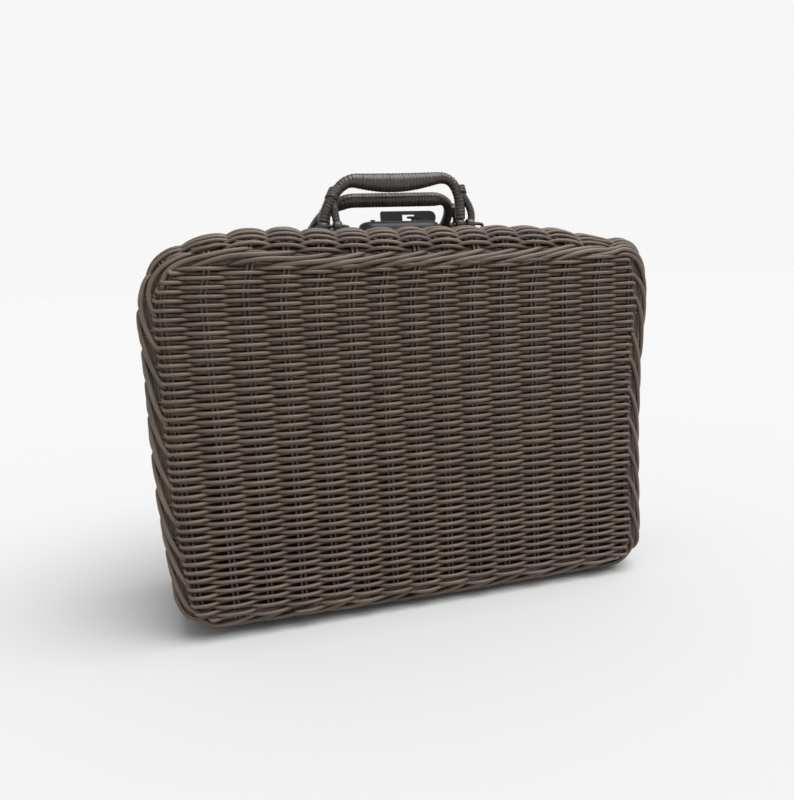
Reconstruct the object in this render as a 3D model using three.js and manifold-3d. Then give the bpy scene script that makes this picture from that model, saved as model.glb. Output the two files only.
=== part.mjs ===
// A woven picnic case of two equal halves, standing on its long narrow side.
// Millimetres. X runs along the width, the front face looks to -Y, and Z is up.
// The seam between the halves lies in the plane y = 0, and the floor is z = 0.
import * as THREE from 'three';
import { mergeVertices } from 'three/addons/utils/BufferGeometryUtils.js';
import Module from 'manifold-3d';

const wasm = await Module();
wasm.setup();

// Case
const CASE_WIDTH = 414;
const CASE_HEIGHT = 302;
const CASE_DEPTH = 160;
const SIDE_BOW = 4;
const TOP_BOW = 8;
const TOP_CORNER_RADIUS = 42;
const BOTTOM_CORNER_RADIUS = 26;
const EDGE_RADIUS = 24;
const WEAVE_THICKNESS = 9;
const SEAM_GAP = 0.5;
const SEAT_GAP = 0.3;

// Roped border on the edge of each broad face, and the bound rim at the seam
const BORDER_WIDTH = 14;
const BORDER_THICKNESS = 8.4;
const BORDER_PROUD = 0.6;
const BORDER_LEAN = 35;
const BORDER_TOP_INSET = 26;
const RIM_RADIUS = 5.5;

// Canes across the broad face: each row runs over one stake pair and under the next
const STAKE_PAIRS = 15;
const STAKE_SPACING = 26;
const STAKE_DRIFT = 3.8;
const STAKE_CROWDING = 5.1;
const STAKE_OFFSET = -1.3;
const ROW_PITCH = 3.17;
const ROW_COUNT = 82;
const LOWEST_ROW = 14.33;
const ROW_TUCK = 1;
const ROW_PROUD = 0.8;
const ROW_RELIEF = 3.2;

// Handles: a bent bow, an inner leg at each end, and a wound grip
const HANDLE_SETBACK = 22;
const HANDLE_OFFSET = 3;
const HANDLE_CORE_RADIUS = 4.3;
const INNER_LEG_RADIUS = 3.6;
const GRIP_LENGTH = 70;
const GRIP_RISE = 35.5;
const OUTER_FEET_SPREAD = 126;
const INNER_FEET_SPREAD = 104;
const WRAP_STRIP_WIDTH = 2.8;
const STRIPS_PER_RIB = 2;
const WRAP_RIB_DEPTH = 0.3;
const FRONT_WRAP_RADIUS = 5.4;
const FRONT_WRAP_BELLY = 1.8;
const BACK_WRAP_RADIUS = 6.1;
const BACK_HANDLE_LEAN = -54;
const BINDING_LENGTH = 8;
const BINDING_WALL = 1.1;
const EYE_WALL = 2.9;
const EYE_LENGTH = 8;
const STAPLE_RADIUS = 1.5;
const STAPLE_CLEARANCE = 0.25;
const STAPLE_OVERHANG = 4;
const STAPLE_TAIL = 2;

// Two strap hinges under the seam
const HINGE_SPACING = 240;
const HINGE_WIDTH = 26;
const HINGE_LEAF_LENGTH = 27;
const HINGE_LEAF_THICKNESS = 1.4;
const HINGE_FLOOR_GAP = 0.4;
const HINGE_KNUCKLE_RADIUS = 2.1;
const HINGE_PIN_RADIUS = 1;
const HINGE_PIN_CLEARANCE = 0.2;
const HINGE_KNUCKLE_GAP = 0.4;
const HINGE_LEAF_SETBACK = 4.4;
const HINGE_RIVET_SPACING = 12;

// Clasp on top of the seam: plate and turn button in front, hinged flap behind
const PLATE_LENGTH = 69;
const PLATE_WIDTH = 23.6;
const PLATE_THICKNESS = 8.4;
const PLATE_BEVEL = 2.4;
const PLATE_OFFSET = 3.5;
const PLATE_SEAM_INSET = 1.2;
const PLATE_RIVET_SPACING = 46;
const FLAP_OFFSET = 18;
const FLAP_WIDTH = 49;
const FLAP_LENGTH = 14;
const FLAP_THICKNESS = 1.8;
const FLAP_LEAN = 8;
const FLAP_AXIS_SETBACK = 2.8;
const FLAP_HEEL = 0.5;
const FLAP_SLOT_NEAR = 4.2;
const FLAP_SLOT_FAR = 11.1;
const FLAP_PLATE_GAP = 0.4;
const FLAP_KNUCKLE_RADIUS = 2;
const FLAP_KNUCKLE_LENGTH = 10;
const FLAP_KNUCKLE_GAP = 0.5;
const FLAP_PIN_RADIUS = 0.9;
const FLAP_PIN_CLEARANCE = 0.2;
const FLAP_LEAF_MARGIN = 5;
const FLAP_LEAF_THICKNESS = 3;
const FLAP_RIVET_SPACING = 20;
const BUTTON_LENGTH = 10;
const BUTTON_WIDTH = 4.4;
const BUTTON_HEIGHT = 1.8;
const BUTTON_STEM_RADIUS = 1.4;
const BUTTON_SETBACK = 3.9;
const BUTTON_CLEARANCE = 0.5;
const BUTTON_STEM_DEPTH = 4;

// Rivets
const RIVET_SHANK_RADIUS = 1.3;
const RIVET_HEAD_RADIUS = 2.5;
const RIVET_TAIL_RADIUS = 3.2;
const RIVET_TAIL_HEIGHT = 1;
const RIVET_HEAD_HEIGHT = 1;

// Fineness of the curves
const CORNER_STEPS = 4;
const SIDE_POINTS = 5;
const EDGE_STEPS = 5;
const INNER_EDGE_STEPS = 3;
const ROUND_SIDES = 12;
const SMALL_SIDES = 8;

// Materials
function finish(color, roughness, metalness) {
  return new THREE.MeshStandardMaterial({ color, roughness, metalness });
}

const caneFinish = () => finish(0x6b625a, 0.55, 0);
const wrapFinish = () => finish(0x574f47, 0.5, 0);
const blackFinish = () => finish(0x1f2426, 0.4, 0.3);

// Solids
function solidOf(geometry) {
  const bare = geometry.clone();
  bare.deleteAttribute('normal');
  bare.deleteAttribute('uv');
  const merged = mergeVertices(bare, 1e-4);
  const mesh = new wasm.Mesh({
    numProp: 3,
    vertProperties: new Float32Array(merged.attributes.position.array),
    triVerts: new Uint32Array(merged.index.array),
  });
  return new wasm.Manifold(mesh);
}

function geometryOf(solid) {
  const mesh = solid.getMesh();
  const geometry = new THREE.BufferGeometry();
  geometry.setAttribute('position', new THREE.BufferAttribute(mesh.vertProperties, 3));
  geometry.setIndex(new THREE.BufferAttribute(mesh.triVerts, 1));
  geometry.computeVertexNormals();
  return geometry;
}

function cut(base, tools) {
  let result = solidOf(base);
  for (const tool of tools) {
    result = result.subtract(solidOf(tool));
  }
  return geometryOf(result);
}

function join(pieces) {
  let result = solidOf(pieces[0]);
  for (const piece of pieces.slice(1)) {
    result = result.add(solidOf(piece));
  }
  return geometryOf(result);
}

function meet(one, other) {
  return geometryOf(solidOf(one).intersect(solidOf(other)));
}

function signedVolume(positions, index) {
  const a = new THREE.Vector3();
  const b = new THREE.Vector3();
  const c = new THREE.Vector3();
  let total = 0;
  for (let i = 0; i < index.length; i += 3) {
    a.fromArray(positions, index[i] * 3);
    b.fromArray(positions, index[i + 1] * 3);
    c.fromArray(positions, index[i + 2] * 3);
    total += a.dot(b.cross(c));
  }
  return total;
}

// A skin over rings of points. An open row of rings is capped at both ends,
// and a closed one runs back into its first ring.
function loft(rings, closed) {
  const count = rings[0].length;
  const positions = rings.flat(2);
  const index = [];
  const spans = closed ? rings.length : rings.length - 1;
  for (let i = 0; i < spans; i++) {
    const here = i * count;
    const next = ((i + 1) % rings.length) * count;
    for (let j = 0; j < count; j++) {
      const k = (j + 1) % count;
      index.push(here + j, here + k, next + k, here + j, next + k, next + j);
    }
  }
  if (!closed) {
    for (const [ring, flip] of [[0, true], [rings.length - 1, false]]) {
      const centre = [0, 1, 2].map(
        (axis) => rings[ring].reduce((sum, point) => sum + point[axis], 0) / count
      );
      const middle = positions.length / 3;
      positions.push(...centre);
      for (let j = 0; j < count; j++) {
        const here = ring * count + j;
        const next = ring * count + (j + 1) % count;
        index.push(middle, flip ? next : here, flip ? here : next);
      }
    }
  }
  return closedSkin(positions, index);
}

function closedSkin(positions, index) {
  if (signedVolume(positions, index) < 0) {
    index.reverse();
  }
  const geometry = new THREE.BufferGeometry();
  geometry.setAttribute('position', new THREE.Float32BufferAttribute(positions, 3));
  geometry.setIndex(index);
  geometry.computeVertexNormals();
  return geometry;
}

// A slab with a shaped front and a flat back. The front is a grid of points, row
// by row, and each of its squares is folded along the deeper diagonal.
function slab(front, backY) {
  const rows = front.length;
  const columns = front[0].length;
  const positions = front.flat(2);
  const index = [];
  for (let r = 0; r < rows - 1; r++) {
    for (let c = 0; c < columns - 1; c++) {
      const here = r * columns + c;
      const above = here + columns;
      const rising = front[r][c][1] + front[r + 1][c + 1][1];
      const falling = front[r][c + 1][1] + front[r + 1][c][1];
      if (rising > falling) {
        index.push(here, here + 1, above + 1, here, above + 1, above);
      } else {
        index.push(here, here + 1, above, here + 1, above + 1, above);
      }
    }
  }
  const rim = [];
  for (let c = 0; c < columns - 1; c++) {
    rim.push(c);
  }
  for (let r = 0; r < rows - 1; r++) {
    rim.push(r * columns + columns - 1);
  }
  for (let c = columns - 1; c > 0; c--) {
    rim.push((rows - 1) * columns + c);
  }
  for (let r = rows - 1; r > 0; r--) {
    rim.push(r * columns);
  }
  const first = positions.length / 3;
  for (const vertex of rim) {
    positions.push(positions[3 * vertex], backY, positions[3 * vertex + 2]);
  }
  const middle = positions.length / 3;
  const [left, right] = [front[0][0], front[rows - 1][columns - 1]];
  positions.push((left[0] + right[0]) / 2, backY, (left[2] + right[2]) / 2);
  rim.forEach((vertex, i) => {
    const following = (i + 1) % rim.length;
    index.push(vertex, first + i, first + following, vertex, first + following, rim[following]);
    index.push(middle, first + following, first + i);
  });
  return closedSkin(positions, index);
}

function arc(centreA, centreB, radius, from, to, steps) {
  return Array.from({ length: steps + 1 }, (_, i) => {
    const angle = THREE.MathUtils.degToRad(from + (to - from) * i / steps);
    return [centreA + radius * Math.cos(angle), centreB + radius * Math.sin(angle)];
  });
}

function tube(path, radius, steps, sides) {
  const section = new THREE.Shape();
  section.absarc(0, 0, radius, 0, 2 * Math.PI);
  return new THREE.ExtrudeGeometry(section, { steps, extrudePath: path, curveSegments: sides / 2 });
}

// A round bar along X, with its middle at the given place
function barAlongX(radius, length, x, y, z, sides = ROUND_SIDES) {
  return new THREE.CylinderGeometry(radius, radius, length, sides).rotateZ(Math.PI / 2).translate(x, y, z);
}

function barAlongZ(radius, length, x, y, z, sides = ROUND_SIDES) {
  return new THREE.CylinderGeometry(radius, radius, length, sides).rotateX(Math.PI / 2).translate(x, y, z);
}

function placed(name, geometry, material, x = 0, y = 0, z = 0) {
  const mesh = new THREE.Mesh(geometry, material);
  mesh.name = name;
  mesh.position.set(x, y, z);
  return mesh;
}

// Woven halves
const HALF_DEPTH = CASE_DEPTH / 2;
const WALL_END = SEAM_GAP / 2 + 2 * RIM_RADIUS + SEAT_GAP;
const SIDES = [['left', -1], ['right', 1]];

// The case seen from the front, drawn in by an inset. The sides and the top
// bow outwards a little, and the bottom is straight.
function outline(inset, y) {
  const half = CASE_WIDTH / 2 - SIDE_BOW;
  const upper = half - TOP_CORNER_RADIUS;
  const lower = half - BOTTOM_CORNER_RADIUS;
  const shoulder = CASE_HEIGHT - TOP_BOW - TOP_CORNER_RADIUS;
  const heel = BOTTOM_CORNER_RADIUS;
  const round = TOP_CORNER_RADIUS - inset;
  const tight = BOTTOM_CORNER_RADIUS - inset;
  const share = Array.from({ length: SIDE_POINTS }, (_, i) => 2 * (i + 1) / (SIDE_POINTS + 1) - 1);
  const side = (end) => share.map((t) => [
    end * (half - inset + SIDE_BOW * (1 - t * t)),
    (shoulder + heel) / 2 + end * t * (shoulder - heel) / 2,
  ]);
  const points = [
    ...side(1),
    ...arc(upper, shoulder, round, 0, 90, CORNER_STEPS),
    ...share.map((t) => [-t * upper, CASE_HEIGHT - inset - TOP_BOW * t ** 4]),
    ...arc(-upper, shoulder, round, 90, 180, CORNER_STEPS),
    ...side(-1),
    ...arc(-lower, heel, tight, 180, 270, CORNER_STEPS),
    ...arc(lower, heel, tight, 270, 360, CORNER_STEPS),
  ];
  return points.map(([x, z]) => [x, y, z]);
}

function aroundCase(profile, closed) {
  return loft(profile.map(([inset, y]) => outline(inset, y)), closed);
}

// The front half's tray: face, rounded edge, wall, and back along its inside
function trayShell() {
  const turn = EDGE_RADIUS - HALF_DEPTH;
  const inner = EDGE_RADIUS - WEAVE_THICKNESS;
  const profile = [
    ...arc(EDGE_RADIUS, turn, EDGE_RADIUS, 270, 180, EDGE_STEPS),
    [0, -WALL_END],
    [WEAVE_THICKNESS, -WALL_END],
    ...arc(EDGE_RADIUS, turn, inner, 180, 270, INNER_EDGE_STEPS),
  ];
  return aroundCase(profile, false);
}

// Where the border's middle line lies for a point of the outline: over the
// rounded edge at the sides and the bottom, and down on the broad face along the top
function borderPlace(topShare) {
  const over = THREE.MathUtils.degToRad(BORDER_LEAN) * EDGE_RADIUS;
  const place = over * (1 - topShare) - (BORDER_TOP_INSET - EDGE_RADIUS) * topShare;
  const lean = Math.max(place, 0) / EDGE_RADIUS;
  const radius = EDGE_RADIUS - BORDER_THICKNESS / 2 + BORDER_PROUD;
  const inset = EDGE_RADIUS - radius * Math.sin(lean) - Math.min(place, 0);
  return { lean, inset, y: EDGE_RADIUS - HALF_DEPTH - radius * Math.cos(lean) };
}

// The border's section at one point of the outline: a flat oval
function borderSection(topShare, grow) {
  const { lean, inset, y } = borderPlace(topShare);
  return arc(0, 0, 1, 0, 360, SMALL_SIDES).slice(1).map(([a, b]) => {
    const along = a * (BORDER_WIDTH / 2 + grow);
    const out = b * (BORDER_THICKNESS / 2 + grow);
    return [
      inset + along * Math.cos(lean) - out * Math.sin(lean),
      y - along * Math.sin(lean) - out * Math.cos(lean),
    ];
  });
}

// How far each point of the outline belongs to the top: none on the sides and
// the bottom, rising round the two upper corners
function topShares() {
  const rise = Array.from({ length: CORNER_STEPS + 1 }, (_, i) => Math.sin(Math.PI * i / CORNER_STEPS / 2) ** 2);
  const upright = Array(SIDE_POINTS).fill(0);
  const level = Array(SIDE_POINTS).fill(1);
  const below = Array(2 * CORNER_STEPS + 2).fill(0);
  return [...upright, ...rise, ...level, ...rise.toReversed(), ...upright, ...below];
}

function borderRing(grow) {
  const sections = topShares().map((share) => borderSection(share, grow));
  const rings = sections[0].map((_, i) => sections.map(
    (section, k) => outline(section[i][0], section[i][1])[k]
  ));
  return loft(rings, true);
}

// Where each stake pair stands: a little closer together left of the middle
function stakeX(k) {
  const turn = Math.PI * k / (STAKE_PAIRS - 1);
  const even = STAKE_OFFSET + STAKE_SPACING * (k - (STAKE_PAIRS - 1) / 2);
  return even - STAKE_DRIFT * Math.sin(turn) + STAKE_CROWDING * Math.sin(2 * turn);
}

// The part of the broad face inside the border, as a block between two depths
function faceBlock(tuck, frontY, backY) {
  const insets = topShares().map((share) => {
    const { lean, inset } = borderPlace(share);
    return inset + (BORDER_WIDTH / 2 - tuck) * Math.cos(lean);
  });
  return loft([frontY, backY].map((y) => insets.map((inset, k) => outline(inset, y)[k])), false);
}

// The rows of cane on the broad face, as a slab that is high where a cane runs
// over a stake pair and low where it runs under
function faceRows() {
  const end = CASE_WIDTH / 2;
  const stakes = Array.from({ length: STAKE_PAIRS }, (_, k) => stakeX(k));
  const columns = [-end, ...stakes, end];
  const level = (row, column) => {
    if (column === 0 || column === columns.length - 1) {
      return ROW_PROUD - ROW_RELIEF / 2;
    }
    return (row + column) % 2 === 0 ? ROW_PROUD : ROW_PROUD - ROW_RELIEF;
  };
  const front = Array.from({ length: ROW_COUNT }, (_, row) => columns.map(
    (x, column) => [x, -HALF_DEPTH - level(row, column), LOWEST_ROW + ROW_PITCH * row]
  ));
  const back = WEAVE_THICKNESS / 2 - HALF_DEPTH;
  return meet(slab(front, back), faceBlock(ROW_TUCK, -HALF_DEPTH - ROW_RELIEF, back));
}

// Room for the rows in the plain shell, out to the middle of the border
function rowBed() {
  const depth = ROW_RELIEF - ROW_PROUD + 0.2;
  return faceBlock(BORDER_WIDTH / 2, -HALF_DEPTH - ROW_RELIEF, depth - HALF_DEPTH);
}

function rimHoop() {
  const section = arc(RIM_RADIUS, -(SEAM_GAP / 2 + RIM_RADIUS), RIM_RADIUS, 0, 360, SMALL_SIDES);
  return aroundCase(section.slice(1), true);
}

// The same piece for the back half
function forSide(geometry, side) {
  return side > 0 ? geometry.rotateZ(Math.PI) : geometry;
}

// Where the hinges lie
const HINGE_AXIS_HEIGHT = HINGE_FLOOR_GAP + HINGE_KNUCKLE_RADIUS - 0.1;
const HINGE_LEAF_TOP = HINGE_FLOOR_GAP + HINGE_LEAF_THICKNESS;
const HINGE_RIVET_Y = HINGE_LEAF_LENGTH - 7;

function hingeX(side) {
  return side * HINGE_SPACING / 2;
}

// Room in the wall and the rim for a hinge leaf and the knuckles
function hingePocket(x, side) {
  const length = HINGE_LEAF_LENGTH + SEAT_GAP;
  const width = HINGE_WIDTH + 2 * SEAT_GAP;
  const height = HINGE_LEAF_TOP + SEAT_GAP + 1;
  const slot = new THREE.BoxGeometry(width, length + 1, height);
  slot.translate(x, side * (length - 1) / 2, HINGE_LEAF_TOP + SEAT_GAP - height / 2);
  const knuckles = barAlongX(
    HINGE_KNUCKLE_RADIUS + 0.5, HINGE_WIDTH + 5, x, 0, HINGE_AXIS_HEIGHT, ROUND_SIDES
  );
  return [slot, knuckles];
}

function rivetHole(x, y, bottom, top) {
  const radius = RIVET_SHANK_RADIUS + SEAT_GAP;
  return barAlongZ(radius, top - bottom, x, y, (top + bottom) / 2, SMALL_SIDES);
}

function hingeRivetXs(side) {
  return SIDES.map(([, end]) => hingeX(side) + end * HINGE_RIVET_SPACING / 2);
}

// Handle staples: where their tails pass through the top wall
const PIVOT_HEIGHT = STAPLE_RADIUS + EYE_WALL + STAPLE_CLEARANCE + SEAT_GAP;
const STAPLE_INNER = (INNER_FEET_SPREAD - EYE_LENGTH) / 2 - STAPLE_OVERHANG;
const STAPLE_OUTER = (OUTER_FEET_SPREAD + EYE_LENGTH) / 2 + STAPLE_OVERHANG;

function stapleHoles(side) {
  const radius = STAPLE_RADIUS + SEAT_GAP;
  const length = 3 * WEAVE_THICKNESS;
  return SIDES.flatMap(([, end]) => [STAPLE_INNER, STAPLE_OUTER].map((x) => barAlongZ(
    radius, length, HANDLE_OFFSET + end * x, side * HANDLE_SETBACK, CASE_HEIGHT, SMALL_SIDES
  )));
}

// Clasp positions on the top wall
const CLASP_RIVET_Y = WALL_END + SEAT_GAP + RIVET_TAIL_RADIUS;
const PLATE_Y = -(PLATE_SEAM_INSET + PLATE_WIDTH / 2);
const PLATE_BASE = CASE_HEIGHT + SEAT_GAP;
const PLATE_TOP = PLATE_BASE + PLATE_THICKNESS;
const FLAP_AXIS_HEIGHT = CASE_HEIGHT + SEAT_GAP + FLAP_LEAF_THICKNESS + FLAP_KNUCKLE_RADIUS;
const FLAP_STEP = PLATE_TOP + FLAP_PLATE_GAP - FLAP_AXIS_HEIGHT;
const FLAP_LEAF_LENGTH = CLASP_RIVET_Y + FLAP_LEAF_MARGIN - FLAP_AXIS_SETBACK;

function claspRivets(side) {
  const middle = side < 0 ? PLATE_OFFSET : FLAP_OFFSET;
  const spacing = side < 0 ? PLATE_RIVET_SPACING : FLAP_RIVET_SPACING;
  return SIDES.map(([name, end]) => [name, middle + end * spacing / 2, side * CLASP_RIVET_Y]);
}

function wovenHalf(side) {
  const holes = [
    forSide(borderRing(SEAT_GAP), side),
    ...stapleHoles(side),
    ...claspRivets(side).map(([, x, y]) => rivetHole(x, y, CASE_HEIGHT - 2 * WEAVE_THICKNESS, CASE_HEIGHT + 1)),
  ];
  for (const [, end] of SIDES) {
    holes.push(...hingePocket(hingeX(end), side));
    for (const x of hingeRivetXs(end)) {
      holes.push(rivetHole(x, side * HINGE_RIVET_Y, -1, 2 * WEAVE_THICKNESS));
    }
  }
  const shell = join([cut(trayShell(), [rowBed()]), faceRows()]);
  return cut(forSide(shell, side), holes);
}

function boundRim(side) {
  const pockets = SIDES.flatMap(([, end]) => hingePocket(hingeX(end), side));
  return cut(forSide(rimHoop(), side), pockets);
}

function buildHalf(group, half, side) {
  group.add(placed(`${half}_weave`, wovenHalf(side), caneFinish()));
  group.add(placed(`${half}_border`, forSide(borderRing(0), side), caneFinish()));
  group.add(placed(`${half}_rim`, boundRim(side), caneFinish()));
}

// Handles, each drawn about its pivot line with the grip above it
function point(x, z) {
  return new THREE.Vector3(x, 0, z);
}

function bowPath() {
  const foot = OUTER_FEET_SPREAD / 2;
  const grip = GRIP_LENGTH / 2;
  const shoulder = grip + (foot - grip) * 0.57;
  const path = new THREE.CurvePath();
  path.add(new THREE.CubicBezierCurve3(
    point(-foot, 0), point(-foot + 3.5, GRIP_RISE * 0.31), point(-shoulder, GRIP_RISE), point(-grip, GRIP_RISE)
  ));
  path.add(new THREE.LineCurve3(point(-grip, GRIP_RISE), point(grip, GRIP_RISE)));
  path.add(new THREE.CubicBezierCurve3(
    point(grip, GRIP_RISE), point(shoulder, GRIP_RISE), point(foot - 3.5, GRIP_RISE * 0.31), point(foot, 0)
  ));
  return path;
}

function innerLegPath(end) {
  const foot = INNER_FEET_SPREAD / 2;
  const under = (GRIP_LENGTH + OUTER_FEET_SPREAD) / 4;
  return new THREE.LineCurve3(point(end * foot, 0), point(end * under, GRIP_RISE * 0.74));
}

function bowTube(grow) {
  return tube(bowPath(), HANDLE_CORE_RADIUS + grow, 36, SMALL_SIDES);
}

function eye(x) {
  const radius = STAPLE_RADIUS + STAPLE_CLEARANCE + EYE_WALL;
  return barAlongX(radius, EYE_LENGTH, x, 0, 0);
}

function eyeBore(x) {
  return barAlongX(STAPLE_RADIUS + STAPLE_CLEARANCE, EYE_LENGTH + 8, x, 0, 0);
}

// A stick wound with flat strip, with a rib for every few turns, and plain where
// the winding of the grip covers it
function woundStick(path, radius, covered = 0) {
  const turns = Math.round(path.getLength() / (WRAP_STRIP_WIDTH * STRIPS_PER_RIB));
  const rings = [];
  for (let i = 0; i <= 2 * turns; i++) {
    const centre = path.getPointAt(i / (2 * turns));
    const along = path.getTangentAt(i / (2 * turns));
    if (Math.abs(centre.x) < covered) {
      continue;
    }
    const size = radius - (i % 2 === 0 ? WRAP_RIB_DEPTH : 0);
    rings.push(arc(0, 0, size, 0, 360, SMALL_SIDES).slice(1).map(
      ([a, b]) => [centre.x - a * along.z, b, centre.z + a * along.x]
    ));
  }
  return loft(rings, false);
}

function handleBow() {
  const feet = [-OUTER_FEET_SPREAD / 2, OUTER_FEET_SPREAD / 2];
  const stick = woundStick(bowPath(), HANDLE_CORE_RADIUS, GRIP_LENGTH / 2);
  return cut(join([stick, ...feet.map(eye)]), feet.map(eyeBore));
}

function innerLeg(end) {
  const foot = end * INNER_FEET_SPREAD / 2;
  const leg = woundStick(innerLegPath(end), INNER_LEG_RADIUS);
  return cut(join([leg, eye(foot)]), [eyeBore(foot), bowTube(SEAT_GAP)]);
}

// How far out a handle's path stands at a height above the pivot line
function reachAt(path, end, height) {
  const points = path.getSpacedPoints(200).filter((p) => p.x * end > 0);
  points.sort((a, b) => Math.abs(a.z - height) - Math.abs(b.z - height));
  return points[0].x;
}

// A collar of winding round the bow and the inner leg, just under their fork
function forkBinding(end) {
  const height = GRIP_RISE * 0.62;
  const heights = [height - BINDING_LENGTH / 2, height, height + BINDING_LENGTH / 2];
  const outer = heights.map((z) => reachAt(bowPath(), end, z) * end + HANDLE_CORE_RADIUS);
  const inner = heights.map((z) => reachAt(innerLegPath(end), end, z) * end - INNER_LEG_RADIUS);
  const middle = end * (Math.max(...outer) + Math.min(...inner)) / 2;
  const reach = (Math.max(...outer) - Math.min(...inner)) / 2 + SEAT_GAP + BINDING_WALL;
  const side = HANDLE_CORE_RADIUS + SEAT_GAP + BINDING_WALL;
  const collar = barAlongZ(1, BINDING_LENGTH, 0, 0, 0);
  collar.scale(reach, side, 1);
  collar.translate(middle, 0, height);
  const legRoom = tube(innerLegPath(end), INNER_LEG_RADIUS + SEAT_GAP, 2, SMALL_SIDES);
  return cut(collar, [bowTube(SEAT_GAP), legRoom]);
}

// The winding over the grip, with a rib for every few turns of the flat strip
function gripWrap(radius, belly) {
  const turns = Math.round(GRIP_LENGTH / (WRAP_STRIP_WIDTH * STRIPS_PER_RIB));
  const bore = HANDLE_CORE_RADIUS + SEAT_GAP;
  const ring = (x, size, drop) => arc(0, GRIP_RISE - drop, size, 0, 360, ROUND_SIDES)
    .slice(1)
    .map(([y, z]) => [x, y, z]);
  const rings = [];
  for (let i = 0; i <= 2 * turns; i++) {
    const x = GRIP_LENGTH * (i / (2 * turns) - 0.5);
    const swell = belly * Math.cos(Math.PI * x / GRIP_LENGTH) ** 2;
    const groove = i % 2 === 0 ? WRAP_RIB_DEPTH : 0;
    rings.push(ring(x, radius + swell - groove, swell));
  }
  rings.push(ring(GRIP_LENGTH / 2, bore, 0), ring(-GRIP_LENGTH / 2, bore, 0));
  return loft(rings, true);
}

// A wire staple that carries the two eyes at one end of a handle
function handleStaple(end) {
  const bend = 3;
  const tail = -(PIVOT_HEIGHT + WEAVE_THICKNESS + STAPLE_TAIL);
  const near = end * STAPLE_INNER;
  const far = end * STAPLE_OUTER;
  const turn = end * bend;
  const path = new THREE.CurvePath();
  path.add(new THREE.LineCurve3(point(near, tail), point(near, -bend)));
  path.add(new THREE.QuadraticBezierCurve3(point(near, -bend), point(near, 0), point(near + turn, 0)));
  path.add(new THREE.LineCurve3(point(near + turn, 0), point(far - turn, 0)));
  path.add(new THREE.QuadraticBezierCurve3(point(far - turn, 0), point(far, 0), point(far, -bend)));
  path.add(new THREE.LineCurve3(point(far, -bend), point(far, tail)));
  return tube(path, STAPLE_RADIUS, 18, 6);
}

function buildHandle(group, half, side, lean, wrapRadius, belly) {
  const pivot = new THREE.Group();
  pivot.position.set(HANDLE_OFFSET, side * HANDLE_SETBACK, CASE_HEIGHT + PIVOT_HEIGHT);
  for (const [name, end] of SIDES) {
    pivot.add(placed(`${half}_handle_staple_${name}`, handleStaple(end), blackFinish()));
  }
  const handle = new THREE.Group();
  handle.rotation.x = THREE.MathUtils.degToRad(-lean);
  handle.add(placed(`${half}_handle_bow`, handleBow(), wrapFinish()));
  handle.add(placed(`${half}_handle_grip_wrap`, gripWrap(wrapRadius, belly), wrapFinish()));
  for (const [name, end] of SIDES) {
    handle.add(placed(`${half}_handle_inner_leg_${name}`, innerLeg(end), wrapFinish()));
    handle.add(placed(`${half}_handle_binding_${name}`, forkBinding(end), wrapFinish()));
  }
  pivot.add(handle);
  group.add(pivot);
}

// Rivets stand on Z with the shank below the head's seat
function rivet(grip, headProfile) {
  const profile = [
    [0, -grip - RIVET_TAIL_HEIGHT],
    [RIVET_TAIL_RADIUS * 0.7, -grip - RIVET_TAIL_HEIGHT],
    [RIVET_TAIL_RADIUS, -grip],
    [RIVET_SHANK_RADIUS, -grip],
    ...headProfile,
  ];
  const points = profile.map(([x, y]) => new THREE.Vector2(x, y));
  return new THREE.LatheGeometry(points, SMALL_SIDES).rotateX(Math.PI / 2);
}

function domedRivet(grip) {
  return rivet(grip, [
    [RIVET_SHANK_RADIUS, SEAT_GAP],
    [RIVET_HEAD_RADIUS, SEAT_GAP],
    [RIVET_HEAD_RADIUS * 0.7, RIVET_HEAD_HEIGHT * 0.8 + SEAT_GAP],
    [0, RIVET_HEAD_HEIGHT + SEAT_GAP],
  ]);
}

function countersunkRivet(grip, leaf) {
  return rivet(grip, [
    [RIVET_SHANK_RADIUS, -leaf],
    [RIVET_HEAD_RADIUS, 0],
    [0, 0],
  ]);
}

// Hinges, each leaf drawn about the pin with the leaf on its +Y side
function leafOutline(knuckles) {
  const half = HINGE_WIDTH / 2;
  const shape = new THREE.Shape();
  const corner = 4;
  shape.moveTo(-half, HINGE_LEAF_SETBACK);
  for (const [from, to] of knuckles) {
    shape.lineTo(from, HINGE_LEAF_SETBACK);
    shape.lineTo(from, 0);
    shape.lineTo(to, 0);
    shape.lineTo(to, HINGE_LEAF_SETBACK);
  }
  shape.lineTo(half, HINGE_LEAF_SETBACK);
  shape.lineTo(half, HINGE_LEAF_LENGTH - corner);
  shape.absarc(half - corner, HINGE_LEAF_LENGTH - corner, corner, 0, Math.PI / 2, false);
  shape.absarc(-half + corner, HINGE_LEAF_LENGTH - corner, corner, Math.PI / 2, Math.PI, false);
  shape.lineTo(-half, HINGE_LEAF_SETBACK);
  return shape;
}

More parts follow.
